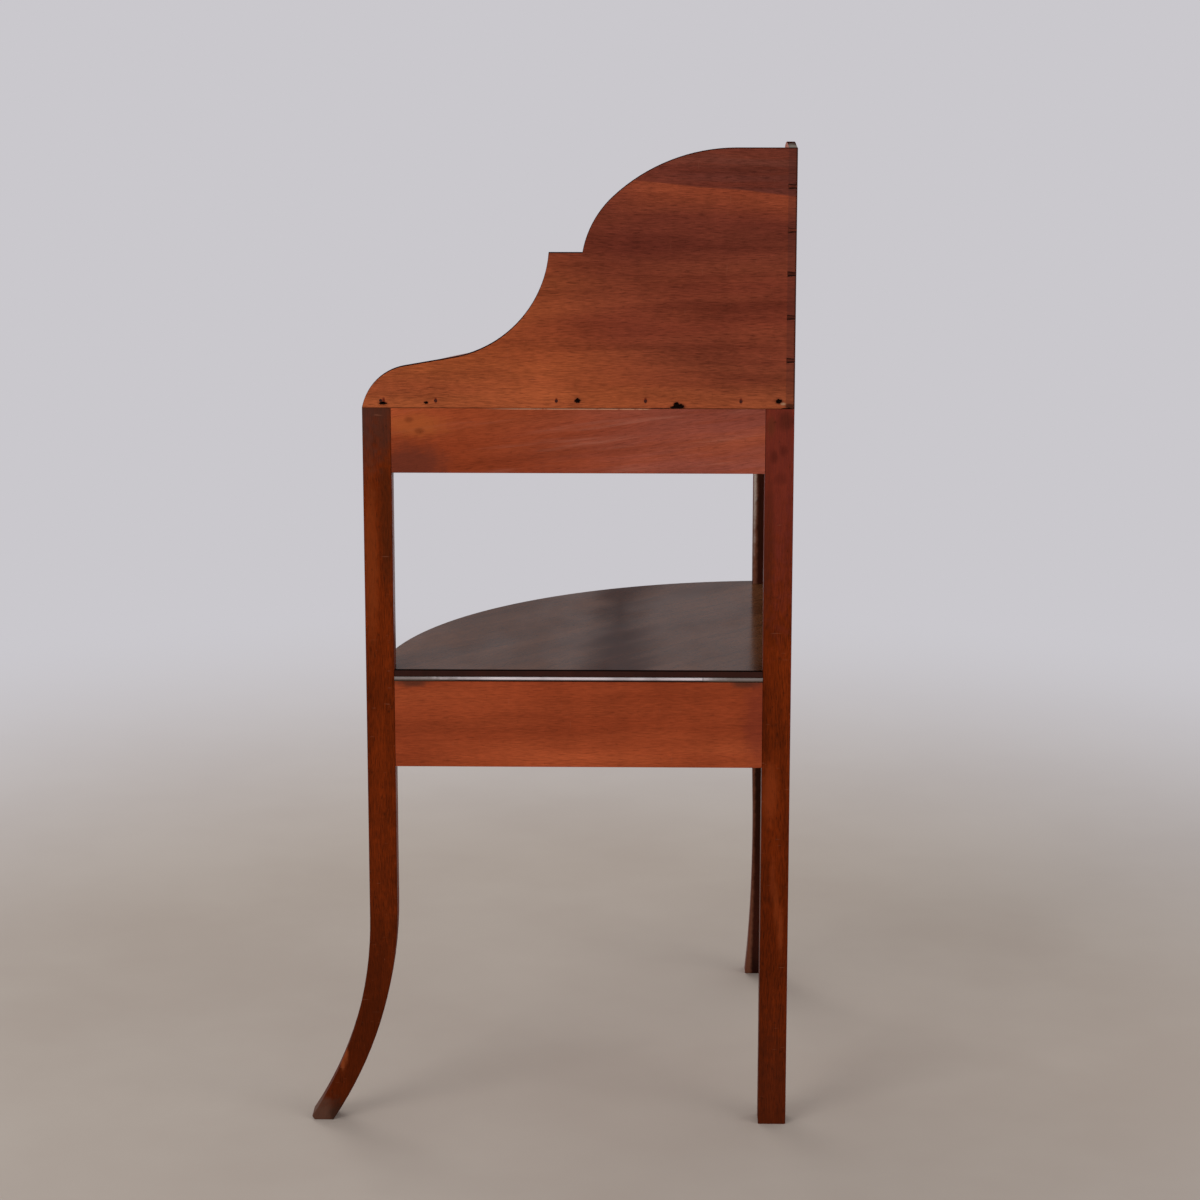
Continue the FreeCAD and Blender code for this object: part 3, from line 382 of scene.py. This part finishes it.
def wear_marks(tree, colour, fibres, wear):
    """Pale scuffs and scratches, and small dark dents."""
    specks = tree.noise(tree.stretch(tree.place, (330, 290, 210)), 4.0, 0.66)
    scratches = tree.noise(tree.stretch(fibres, (700, 60, 60), (0, 4, 9)), 1.0, 0.4)
    pale = tree.maths("MAXIMUM", tree.ramp(specks, 0.67, 0.77), tree.ramp(scratches, 0.74, 0.84))
    colour = tree.mix(tree.times(pale, wear), colour, SCUFF)
    dents = tree.noise(tree.stretch(tree.place, (210, 210, 150), (3, 5, 2)))
    return tree.mix(tree.ramp(dents, 0.66, 0.76, 0.0, wear), colour, DENT)


def wood(name, run, seed, tones, polish=0.0, rough=0.45, gloss=0.12, contrast=1.0, tilt=0.0,
         wear=0.0, extra=None, stains=()):
    """A wood with bands, streaks, flecks, fibres and short open pores under an old warm polish.

    The run says what the fibres follow. The extra is a function that changes the colour in places.
    """
    light, dark, streak, pore = tones
    tree = Material(name)
    fibres = grain(tree, run, seed, tilt)
    figure = {kind: tree.noise(tree.stretch(fibres, scale, shift), detail, roughness)
              for kind, (scale, detail, roughness, shift) in FIGURE.items()}

    colour = tree.mix(tree.ramp(figure["bands"], 0.34, 0.66), light, dark)
    streaked = tree.ramp(figure["streaks"], 0.44, 0.72)
    streaked = tree.times(streaked, STREAK_STRENGTH * contrast, clamp=True)
    colour = tree.mix(streaked, colour, streak)
    lightness = 1.0
    for kind, span, (start, end) in LIGHTNESS:
        change = tree.ramp(figure[kind], *span, start * contrast, end * contrast)
        lightness = tree.plus(lightness, change)
    colour = tree.brighten(colour, lightness)
    open_pores = tree.ramp(figure["pores"], 0.58, 0.7)
    colour = tree.mix(tree.times(open_pores, PORE_STRENGTH * contrast, clamp=True), colour, pore)
    if extra:
        colour = extra(tree, colour, fibres)
    dirt = 0.0
    for centre, radii, stain, strength in stains:
        patch = tree.blot(centre, radii)
        colour = tree.mix(tree.times(patch, strength), colour, stain)
        dirt = tree.maths("MAXIMUM", dirt, patch)
    if wear:
        colour = wear_marks(tree, colour, fibres, wear)

    patchy = tree.noise(tree.stretch(tree.place, (9, 9, 9), (seed, 0, 0)), 3.0, 0.6)
    roughness = tree.ramp(patchy, 0.3, 0.7, rough - ROUGHNESS_BELOW, rough + ROUGHNESS_ABOVE)
    roughness = tree.plus(roughness, tree.times(open_pores, PORE_ROUGHNESS))
    if stains:
        roughness = tree.plus(roughness, tree.times(dirt, DIRT_ROUGHNESS), clamp=True)
    height = tree.plus(tree.times(figure["fine"], FIBRE_SHARE), figure["streaks"])
    height = tree.minus(height, tree.times(open_pores, PORE_SHARE))
    tree.look({
        "Base Color": colour,
        "Roughness": roughness,
        "Normal": tree.bump(height, RELIEF_STRENGTH, RELIEF),
        "Specular IOR Level": gloss,
        "Specular Tint": WARM_POLISH,
        "Coat Weight": polish,
        "Coat Roughness": COAT_ROUGHNESS,
    })
    return tree.material


def left_board_tones(tree, colour, fibres):
    """The left backboard's orange foot, its redder middle and darker top, its streak and its joints."""
    x, _, z = tree.split(tree.place)
    cloud = tree.swing(tree.noise(tree.stretch(fibres, (4, 16, 16)), 3.0, 0.6), 0.45)
    right = tree.plus(tree.ramp(x, *across(378.5 * MM, 158.5 * MM)), cloud)
    rise = tree.plus(z, tree.ramp(x, *across(298.5 * MM, 38.5 * MM), 0.0, 62 * MM))
    high = tree.ramp(rise, TOP_LEVEL + 16 * MM, TOP_LEVEL + 120 * MM)
    redder = tree.times(right, high, clamp=True)
    foot = tree.plus(tree.ramp(z, TOP_LEVEL, TOP_LEVEL + 70 * MM, 1.0, 0.0), cloud, clamp=True)
    foot = tree.times(foot, tree.ramp(x, *across(398.5 * MM, 58.5 * MM), 1.0, 0.45))
    upper = tree.ramp(z, BOARD_TOP - 140 * MM, BOARD_TOP - 95 * MM)
    colour = tree.gain(foot, colour, FOOT_GAIN)
    colour = tree.gain(redder, colour, REDDER_GAIN)
    colour = tree.gain(upper, colour, UPPER_GAIN)
    colour = top_streak(tree, colour, fibres)

    joint = tree.ramp(x, *across(9.8 * MM, 8.6 * MM), 0.0, 0.35)
    colour = tree.mix(joint, colour, tint(74, 40, 36))
    arris = tree.ramp(x, *across(2.2 * MM, 0.8 * MM), 0.0, 0.75)
    colour = tree.mix(arris, colour, tint(44, 18, 14))
    # A dark line along the foot, where the board meets the rail
    foot_line = tree.ramp(z, TOP_LEVEL + 0.3 * MM, TOP_LEVEL + 1.3 * MM, 0.85, 0.0)
    return tree.mix(foot_line, colour, tint(52, 24, 16))


def top_streak(tree, colour, fibres):
    """A grey band over a light streak that falls a little to the right, near the board's top."""
    x, _, z = tree.split(tree.place)
    fall = tree.times(tree.minus(x, CORNER.x - STREAK_ALONG), STREAK_SLOPE)
    line = tree.minus(tree.plus(z, fall), BOARD_TOP - STREAK_DROP)
    wobble = tree.noise(tree.stretch(tree.place, (9, 9, 9)))
    line = tree.plus(line, tree.swing(wobble, 6 * MM))
    line = tree.times(line, tree.ramp(x, *across(238.5 * MM, 118.5 * MM), 0.2, 1.0))

    below = tree.ramp(line, -1 * MM, 1 * MM, 1.0, 0.0)
    under = tree.times(tree.ramp(line, -36 * MM, -3 * MM), below)
    under = tree.times(under, tree.ramp(x, *across(218.5 * MM, 128.5 * MM)))
    colour = tree.gain(under, colour, STREAK_GAIN)
    above = tree.ramp(line, -1 * MM, 1 * MM)
    strands = tree.noise(tree.stretch(fibres, (7, 130, 130)), 4.0, 0.6)
    over = tree.times(above, tree.ramp(strands, 0.36, 0.58, 0.25, 1.0))
    over = tree.times(over, tree.ramp(x, *across(208.5 * MM, 38.5 * MM), 0.25, 1.0))
    return tree.gain(over, colour, BAND_GAIN)


def upper_rail_tones(tree, colour, fibres):
    """The left upper rail's greyer right end, its pale streaks of ribbon figure painted as their sheen,
    and a painted highlight along its top arris.
    """
    x, _, z = tree.split(tree.place)
    cloud = tree.noise(tree.stretch(fibres, (5, 60, 60)), 4.0, 0.6)
    right = tree.ramp(x, *across(358.5 * MM, 58.5 * MM))
    right = tree.times(right, tree.ramp(cloud, 0.3, 0.6, 0.4, 1.0))
    colour = tree.gain(right, tree.brighten(colour, 0.93), GREY_END_GAIN)
    # Pale slanting streaks: the ribbon figure, painted as the sheen it shows
    pale = tree.noise(tree.stretch(fibres, (6, 120, 120), (5, 8, 2)), 3.0, 0.55)
    pale = tree.times(tree.ramp(pale, 0.54, 0.74, 0.0, 0.5),
                      tree.ramp(x, *across(418.5 * MM, 138.5 * MM), 0.3, 1.0))
    colour = tree.mix(pale, colour, tint(176, 108, 88))
    # A painted highlight where the top arris catches the light, in patches along the rail's middle
    patches = tree.noise(tree.stretch(tree.place, (48, 1, 1)), 4.0, 0.65)
    middle = tree.times(tree.ramp(x, *across(330 * MM, 280 * MM)),
                        tree.ramp(x, *across(160 * MM, 140 * MM), 1.0, 0.0))
    arris = tree.times(tree.ramp(z, TOP_LEVEL - 1.4 * MM, TOP_LEVEL - 0.7 * MM),
                       tree.times(middle, tree.ramp(patches, 0.36, 0.5, 0.1, 0.85)))
    return tree.mix(arris, colour, tint(198, 142, 112))


def shelf_tones(tree, colour, fibres):
    """The shelf's painted dark reflection across its middle, and the dull dark line along its rear
    edges.
    """
    x, y, _ = tree.split(tree.place)
    cloud = tree.noise(tree.stretch(fibres, (3, 9, 9)), 3.0, 0.6)
    middle = tree.maths("ABSOLUTE", tree.minus(x, CORNER.x - SHELF_REFLECTION_ALONG))
    # The edge share is 0 in the painted dark reflection across the shelf's middle and 1 away from it
    edge = tree.ramp(tree.plus(middle, tree.swing(cloud, 90 * MM)), 2 * MM, 52 * MM)
    inward = tree.maths("MINIMUM", tree.minus(CORNER.x, x), tree.minus(y, CORNER.y))
    inside = tree.ramp(inward, 4 * MM, 8 * MM)
    haze = tree.noise(tree.stretch(tree.place, (13, 6, 1)))
    polish = tree.plus(tree.times(edge, 0.16), tree.ramp(haze, 0.36, 0.64, 0.16, 0.25))
    tree.look({"Coat Weight": tree.times(inside, polish)})
    colour = tree.mix(edge, tree.gain(1.0, colour, SHELF_REFLECTION_GAIN), colour)
    return tree.mix(inside, tint(12, 6, 5), colour)


def painted_bead_highlight(tree, colour, _fibres):
    """A painted highlight along the crest of a bead, duller in places."""
    _, _, z = tree.split(tree.place)
    patches = tree.noise(tree.stretch(tree.place, (16, 16, 1)), 3.0, 0.6)
    highlight_band = tree.times(tree.ramp(z, CASE_TOP + 1.7 * MM, CASE_TOP + 3 * MM),
                       tree.ramp(z, CASE_TOP + 4.6 * MM, CASE_TOP + 6.2 * MM, 1.0, 0.0))
    highlight_band = tree.times(highlight_band, tree.ramp(patches, 0.3, 0.62, 0.45, 1.0))
    # The pale colour is the painted highlight
    return tree.mix(highlight_band, colour, tint(228, 216, 218))


def brass():
    """Old brass, browned in clouds."""
    tree = Material("old_brass")
    cloud = tree.noise(tree.stretch(tree.place, (90, 90, 90)), 4.0, 0.65)
    fine = tree.noise(tree.stretch(tree.place, (900, 900, 900)))
    colour = tree.mix(tree.ramp(cloud, 0.35, 0.7), tint(196, 158, 86), tint(122, 88, 44))
    tree.look({
        "Base Color": tree.mix(tree.ramp(cloud, 0.62, 0.8), colour, tint(64, 46, 28)),
        "Roughness": tree.ramp(cloud, 0.3, 0.75, 0.2, 0.5),
        "Normal": tree.bump(fine, 0.2, 0.05 * MM),
        "Metallic": 1.0,
    })
    return tree.material


def iron():
    """The rusted iron of nails and screws."""
    tree = Material("rusted_iron")
    cloud = tree.noise(tree.stretch(tree.place, (700, 700, 700)), 4.0, 0.7)
    tree.look({
        "Base Color": tree.mix(tree.ramp(cloud, 0.4, 0.62), tint(40, 18, 13), tint(86, 32, 20)),
        "Roughness": tree.ramp(cloud, 0.3, 0.7, 0.55, 0.85),
        "Normal": tree.bump(cloud, 0.5, 0.1 * MM),
        "Specular IOR Level": 0.15,
    })
    return tree.material


def applied(piece):
    """Bakes a piece's modifiers into its mesh."""
    bpy.context.view_layer.update()
    graph = bpy.context.evaluated_depsgraph_get()
    made = bpy.data.meshes.new_from_object(piece.evaluated_get(graph))
    piece.modifiers.clear()
    piece.data = made


def shade(piece):
    """Smooth shading that keeps flat faces flat and every real edge crisp."""
    for face in piece.data.polygons:
        face.use_smooth = True
    piece.data.set_sharp_from_angle(angle=CRISP_ANGLE)
    modifier = piece.modifiers.new("weighted", "WEIGHTED_NORMAL")
    modifier.mode = "FACE_AREA"
    modifier.keep_sharp = True
    applied(piece)


def clean_mesh(node):
    """A CAD node's surface with its triangles joined back into the flat faces that they cut up."""
    mesh = bmesh.new()
    mesh.from_mesh(frame["nodes"][node].data)
    bmesh.ops.remove_doubles(mesh, verts=mesh.verts, dist=JOIN_DISTANCE)
    bmesh.ops.dissolve_limit(mesh, angle_limit=FLAT_ANGLE, verts=mesh.verts, edges=mesh.edges)
    return mesh


def ease_edges(mesh, width):
    """Rounds the long sharp outer edges."""
    chosen = [edge for edge in mesh.edges
              if len(edge.link_faces) == 2 and edge.calc_length() > SHORTEST_EASED
              and edge.is_convex and edge.calc_face_angle() > EASED_ANGLE]
    bmesh.ops.bevel(mesh, geom=chosen, offset=width, offset_type="OFFSET", segments=2, profile=0.5,
                    affect="EDGES", clamp_overlap=False)


def dress(node, materials, width=EASING, chooser=None, finished=True):
    """A worn copy of a CAD node that stands for it. The chooser gives each face its material.

    A piece that isn't finished is carved next, and shaded after that.
    """
    mesh = clean_mesh(node)
    if width:
        ease_edges(mesh, width)
    mesh.normal_update()
    if chooser:
        for face in mesh.faces:
            face.material_index = chooser(face)
    data = bpy.data.meshes.new(node + "_worn")
    mesh.to_mesh(data)
    mesh.free()
    piece = bpy.data.objects.new(node + "_worn", data)
    bpy.context.scene.collection.objects.link(piece)
    for material in materials:
        data.materials.append(material)
    if finished:
        shade(piece)
    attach(piece, BODY_OF[node])
    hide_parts(node)
    return piece


def dress_slot(slot, material, width):
    """Worn copies, in one material, of all the nodes in a material slot."""
    for node, own_slot in SLOT_OF.items():
        if own_slot == slot:
            dress(node, (material,), width)


def ragged_lump(mesh, centre, radii, seed):
    """A closed lump with an uneven skin, to cut a pit with."""
    made = bmesh.ops.create_icosphere(mesh, subdivisions=3, radius=1.0)
    for vertex in made["verts"]:
        swell = 1 + SWELL * noise.noise(vertex.co * SWELL_SCALE + Vector((seed, seed, 0)))
        vertex.co = centre + vertex.co * Vector(radii) * swell


def carve(piece, cutter_mesh, index):
    """Cuts the cutter out of the piece, and gives the new faces one material's number."""
    for face in cutter_mesh.faces:
        face.material_index = index
    data = bpy.data.meshes.new("cutter")
    cutter_mesh.to_mesh(data)
    cutter_mesh.free()
    for material in piece.data.materials:
        data.materials.append(material)
    cutter = bpy.data.objects.new("cutter", data)
    bpy.context.scene.collection.objects.link(cutter)
    modifier = piece.modifiers.new("pits", "BOOLEAN")
    modifier.operation = "DIFFERENCE"
    modifier.solver = "EXACT"
    modifier.use_self = True
    modifier.object = cutter
    applied(piece)
    bpy.data.objects.remove(cutter)
    shade(piece)


def left_backboard():
    """The seen backboard, with pits, a chip and cracks along its foot."""
    wider, taller = STAIN_SHARES
    stains = [mark(along, TOP_LEVEL + up, width * wider, height * taller, tint(78, 34, 22), 0.75)
              for along, up, width, height in PIT_PLACES]
    stains += [mark(along, TOP_LEVEL + NAIL_LEVEL, 2 * MM, 4 * MM, tint(96, 26, 18), 0.9)
               for along in NAIL_STAINS]
    stains += [mark(5 * MM, TOP_LEVEL + 3 * MM, 8 * MM, 4.5 * MM, tint(44, 20, 15), 0.8),
               mark(12 * MM, TOP_LEVEL + 5.5 * MM, 3.5 * MM, 1.8 * MM, tint(176, 134, 104), 0.8)]
    face = wood("mahogany_board_left", "x", 3.0, BACK_TONES, rough=0.5, contrast=1.05, wear=0.15,
                extra=left_board_tones, stains=stains)
    edge = wood("mahogany_board_edge_left", "x", 5.0, EDGE_TONES, rough=0.8, gloss=0.0)
    torn = wood("mahogany_torn", "x", 9.0, TORN_TONES, rough=0.9, gloss=0.0)
    tail_ends = wood("mahogany_tail_ends", "y", 17.0, PIN_TONES, rough=0.7, contrast=1.4)

    in_face, in_edge, in_torn, in_tail_ends = range(4)

    def chooser(face):
        outermost = face.calc_center_median().x > CORNER.x - OUTER_REACH
        if face.normal.x > FACING_SHARE and outermost:
            return in_tail_ends
        return in_face if abs(face.normal.y) > FACING_SHARE else in_edge

    piece = dress("backboard_left", (face, edge, torn, tail_ends), chooser=chooser, finished=False)
    lumps = bmesh.new()
    for seed, (along, up, half_width, half_height) in enumerate(PIT_PLACES):
        place = spot(along, 0, TOP_LEVEL + up)
        ragged_lump(lumps, place, (half_width, PIT_DEPTH, half_height), seed)
    for seed, (start, end, half_height) in enumerate(CRACKS, FIRST_CRACK_SEED):
        place = spot((start + end) / 2, 0, TOP_LEVEL)
        ragged_lump(lumps, place, ((end - start) / 2, CRACK_DEPTH, half_height), seed)
    carve(piece, lumps, in_torn)


def right_backboard():
    """The other backboard, with the dovetails' pin ends and the dark gaps round them."""
    dusty = mark(4 * MM, BOARD_TOP, 14 * MM, 9 * MM, tint(132, 124, 114), 0.85, half_depth=60 * MM)
    levels = sorted({round(vertex.co.z, 4)
                     for vertex in frame["nodes"]["backboard_right"].data.vertices
                     if vertex.co.y < CORNER.y + 0.1 * MM})
    gaps = [mark(4 * MM, level, 9 * MM, 1.4 * MM, tint(30, 13, 10), GAP_STRENGTHS[number % 2],
                 half_depth=6 * MM)
            for number, level in enumerate(levels) if level < BOARD_TOP - 8 * MM]
    face = wood("mahogany_board_right", "y", 14.0, BACK_TONES, rough=0.5, contrast=1.05)
    edge = wood("mahogany_board_edge_right", "y", 15.0, EDGE_TONES, rough=0.8, gloss=0.0,
                stains=(dusty,))
    pin_ends = wood("mahogany_pin_ends", "x", 16.0, PIN_TONES, rough=0.7, contrast=1.4,
                    stains=gaps + [dusty])

    in_face, in_edge, in_pin_ends = range(3)

    def chooser(face):
        outermost = face.calc_center_median().y < CORNER.y + OUTER_REACH
        if face.normal.y < -FACING_SHARE and outermost:
            return in_pin_ends
        return in_face if abs(face.normal.x) > FACING_SHARE else in_edge

    dress("backboard_right", (face, edge, pin_ends), 0.0, chooser)


def leg_stains(node):
    """Painted shade on the legs' tops, the post's pinker top, dusty toes and the paler places of each
    upright.
    """
    low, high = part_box(node)
    middle = (low + high) / 2
    top = (middle.x, middle.y, TOP_LEVEL)
    toe = (middle.x, middle.y, low.z)
    all_round = 60 * MM
    if node == "corner_post":
        marks = [mark(*place, half_depth=POST_MARK_DEPTH) for place in POST_MARKS]
        dark_top = (top, (all_round, all_round, 280 * MM), tint(124, 50, 44), 0.55)
        dark_foot = (toe, (all_round, all_round, 190 * MM), tint(66, 24, 12), 0.6)
        return [dark_top] + marks + [dark_foot]
    if node == "leg_left":
        pale_toe = tint(150, 72, 36)
        return [
            # Painted shade darkens the left leg's top
            (top, (all_round, all_round, 100 * MM), tint(80, 50, 42), 0.75),
            mark(427 * MM, TOP_LEVEL - 20 * MM, 14 * MM, 46 * MM, tint(76, 42, 32), 0.6,
                 half_depth=14 * MM),
            mark(443 * MM, 630 * MM, 10 * MM, 130 * MM, tint(140, 62, 26), 0.45, half_depth=14 * MM),
            mark(426 * MM, 670 * MM, 10 * MM, 100 * MM, tint(62, 26, 10), 0.6, half_depth=14 * MM),
            (toe, (200 * MM, 90 * MM, 420 * MM), tint(64, 20, 4), 0.6),
            mark(479 * MM, 76 * MM, 4 * MM, 14 * MM, pale_toe, 0.65, half_depth=16 * MM),
            mark(482.5 * MM, 66 * MM, 3.5 * MM, 12 * MM, pale_toe, 0.65, half_depth=16 * MM),
            mark(508 * MM, 4 * MM, 34 * MM, 30 * MM, tint(92, 66, 54), 0.75, 14 * MM, 40 * MM),
            mark(488 * MM, 4 * MM, 14 * MM, 26 * MM, tint(40, 20, 12), 0.7, 4 * MM, 30 * MM),
        ]
    # Painted shade darkens the right leg's top
    return [(top, (all_round, all_round, 90 * MM), tint(72, 42, 36), 0.6)]


def uprights():
    """Post and legs. The right leg's face towards the post has painted shade, with a painted reflection
    and a painted highlight along its arris.
    """
    whole_width = {"inward": 450 * MM, "half_depth": 300 * MM}
    # A painted reflection in a light brown strip, and a pale painted highlight, along the arris of the
    # right leg's shaded face
    painted_light_strips = (
        mark(29 * MM, 200 * MM, 6 * MM, 1200 * MM, tint(142, 88, 66), 0.7, **whole_width),
        mark(30 * MM, 660 * MM, 5 * MM, 150 * MM, tint(206, 192, 178), 0.85, **whole_width),
    )
    # The right leg's face towards the post, with its shade painted in dark tones
    inner = wood("mahogany_leg_right_painted_shade", "z", 38.0, PAINTED_SHADE_TONES, rough=0.5, stains=painted_light_strips)
    for node, seed in (("corner_post", 31.0), ("leg_left", 34.0), ("leg_right", 37.0)):
        outer = wood("mahogany_" + node, "z", seed, LEG_TONES, rough=0.4, contrast=1.35, wear=0.4,
                     stains=leg_stains(node))
        if node == "leg_right":
            dress(node, (outer, inner),
                  chooser=lambda face: 1 if face.normal.y < -INNER_FACING_SHARE else 0)
        else:
            dress(node, (outer,))


def rail_stains(node):
    """The stains on the two rails of the seen side, at their ends."""
    if node == "upper_rail_left":
        dark_spot = tint(110, 48, 24)
        return [
            mark(398 * MM, UPPER_RAIL_LOW + 8 * MM, 46 * MM, 30 * MM, tint(98, 48, 38), 0.65),
            mark(395 * MM, TOP_LEVEL - 18 * MM, 44 * MM, 16 * MM, tint(178, 92, 46), 0.6),
            mark(401 * MM, TOP_LEVEL - 12 * MM, 7 * MM, 4.5 * MM, dark_spot, 0.55),
            mark(390 * MM, TOP_LEVEL - 24 * MM, 7 * MM, 4.5 * MM, dark_spot, 0.55),
        ]
    if node == "mid_rail_left":
        return [
            mark(48 * MM, CASE_TOP, 22 * MM, 8 * MM, tint(74, 44, 34), 0.75),
            mark(402 * MM, CASE_TOP, 26 * MM, 8 * MM, tint(74, 44, 34), 0.75),
            mark(34 * MM, CASE_LOW + 50 * MM, 22 * MM, 60 * MM, tint(120, 48, 36), 0.5),
        ]
    return []


def rails():
    """The four rails of the two flat sides. The seen upper one has a sloping grain."""
    for node, run, seed in (("upper_rail_left", "x", 41.0), ("upper_rail_right", "y", 42.0),
                            ("mid_rail_left", "x", 43.0), ("mid_rail_right", "y", 44.0)):
        sloping = {}
        if node == "upper_rail_left":
            sloping = {"tilt": 0.13, "extra": upper_rail_tones}
        material = wood("mahogany_" + node, run, seed, RAIL_TONES, rough=0.5, contrast=0.7,
                        wear=0.15, stains=rail_stains(node), **sloping)
        dress(node, (material,))


def boards():
    """Shelf, washtop and the case's bottom."""
    shelf = wood("mahogany_shelf_top", "chord", 51.0, SHELF_TONES, polish=0.36, rough=0.42, gloss=0.0,
                 extra=shelf_tones)
    shelf_edge = wood("mahogany_shelf_edge", "bow", 52.0, EDGE_TONES, polish=0.15, rough=0.5)
    dress("shelf_board", (shelf, shelf_edge),
          chooser=lambda face: 0 if abs(face.normal.z) > FACING_SHARE else 1)
    top = wood("mahogany_washtop", "chord", 53.0, FRONT_TONES, polish=0.15, rough=0.36)
    dress("washtop", (top,), 0.0)
    bottom = wood("mahogany_case_bottom", "chord", 67.0, RAIL_TONES, rough=0.6)
    dress("case_bottom", (bottom,))


def beads():
    """The half-round beads round the shelf, with a painted highlight along their crests, dusty near the
    seen joint and ends.
    """
    dust = {
        "shelf_bead_left": mark(410 * MM, CASE_TOP + 3 * MM, 70 * MM, 9 * MM, DUST, 0.8,
                                half_depth=9 * MM),
        "shelf_bead_left_short": mark(50 * MM, CASE_TOP + 2 * MM, 60 * MM, 9 * MM, DUST, 0.8,
                                      half_depth=9 * MM),
    }
    for node, run in (("shelf_bead_left", "x"), ("shelf_bead_left_short", "x"),
                      ("shelf_bead_right", "y"), ("shelf_bead_front", "bow")):
        stains = [dust[node]] if node in dust else []
        material = wood("mahogany_" + node, run, 57.0, BEAD_TONES, polish=0.8, rough=0.3,
                        extra=painted_bead_highlight, stains=stains)
        dress(node, (material,), 0.0)


def fronts():
    """The bowed fronts with their dull upper edges, and the cockbeads."""
    dull = wood("mahogany_front_edges", "bow", 68.0, FRONT_TONES, rough=0.6, gloss=0.04)
    for node, seed in (("frieze_front", 61.0), ("case_top_rail", 62.0), ("front_panel_left", 63.0),
                       ("front_panel_right", 64.0), ("drawer_front", 65.0)):
        polished = wood("mahogany_" + node, "bow", seed, FRONT_TONES, polish=0.2, rough=0.33)
        dress(node, (polished, dull),
              chooser=lambda face: 1 if face.normal.z > FACING_SHARE else 0)
    bead = wood("mahogany_cockbead", "bow", 66.0, BEAD_TONES, rough=0.6, gloss=0.04)
    for node in ("panel_cockbead_left", "panel_cockbead_right", "drawer_cockbead"):
        dress(node, (bead,), SOFTER_EASING)


def inner_woods():
    """Oak of the drawer and pine of the blocks, guides and cleats."""
    for node, seed in (("drawer_side_left", 71.0), ("drawer_side_right", 72.0),
                       ("drawer_back", 73.0), ("drawer_bottom", 74.0)):
        oak = wood("oak_" + node, "chord", seed, OAK_TONES, rough=0.62)
        dress(node, (oak,), FINER_EASING)
    pine = wood("pine_inside", "chord", 81.0, PINE_TONES, rough=0.7)
    dress_slot("pine_blocks", pine, SOFTER_EASING)


def placed(item, place, aim):
    """Puts a camera or a lamp at its place, turned to what it looks at."""
    bpy.context.scene.collection.objects.link(item)
    item.location = place
    item.rotation_euler = (aim - Vector(place)).to_track_quat("-Z", "Y").to_euler()
    return item


def camera():
    """The photograph's view, with no shift."""
    data = bpy.data.cameras.new("camera")
    data.lens = LENS_MM
    data.sensor_width = SENSOR_MM
    holder = bpy.data.objects.new("camera", data)
    bpy.context.scene.camera = placed(holder, CAMERA_PLACE, CAMERA_AIM)


def lights():
    """Even light from the world, which shows as a plain backdrop, and three soft lamps."""
    world = bpy.data.worlds.new("plain_studio")
    bpy.context.scene.world = world
    tree = Tree(world)
    tree.nodes.clear()
    lit = tree.add("Background", {"Color": SKY, "Strength": SKY_STRENGTH})
    shown = tree.add("Background", {"Color": BACKDROP, "Strength": 1.0})
    mixed = tree.add("MixShader", {0: tree.backdrop_share(), 1: lit.outputs[0], 2: shown.outputs[0]})
    tree.add("OutputWorld", {"Surface": mixed.outputs[0]})
    for name, (place, size, power) in LAMPS.items():
        lamp = bpy.data.lights.new(name, "AREA")
        lamp.shape = "SQUARE"
        lamp.size = size
        lamp.energy = power
        placed(bpy.data.objects.new(name, lamp), place, LAMP_AIM)


def floor_material():
    """A plain pale floor that runs out into the backdrop's colour away from the stand."""
    tree = Material("pale_floor")
    cloud = tree.noise(tree.stretch(tree.place, (2, 2, 2)), 4.0, 0.6)
    tree.look({
        "Base Color": tree.mix(tree.ramp(cloud, 0.3, 0.7), *FLOOR_TONES),
        "Roughness": 0.8,
        "Specular IOR Level": 0.1,
    })
    distance = tree.add("VectorMath", {0: tree.place}, operation="LENGTH").outputs["Value"]
    share = tree.times(tree.ramp(distance, *FLOOR_FADE), tree.backdrop_share())
    shown = tree.add("Emission", {"Color": BACKDROP, "Strength": 1.0})
    mixed = tree.add("MixShader", {0: share, 1: tree.shader.outputs[0], 2: shown.outputs[0]})
    tree.put(tree.nodes["Material Output"].inputs["Surface"], mixed.outputs[0])
    return tree.material


def floor():
    """A wide round floor, a hair under the feet."""
    mesh = bmesh.new()
    bmesh.ops.create_circle(mesh, cap_ends=True, segments=FLOOR_SIDES, radius=FLOOR_RADIUS)
    data = bpy.data.meshes.new("floor")
    mesh.to_mesh(data)
    mesh.free()
    data.materials.append(floor_material())
    disc = bpy.data.objects.new("floor", data)
    disc.location.z = -FLOOR_DROP
    bpy.context.scene.collection.objects.link(disc)


left_backboard()
right_backboard()
uprights()
rails()
boards()
beads()
fronts()
inner_woods()
dress_slot("brass", brass(), FINER_EASING)
dress_slot("iron", iron(), 0.0)
bpy.context.scene.view_settings.view_transform = "Standard"
camera()
lights()
floor()
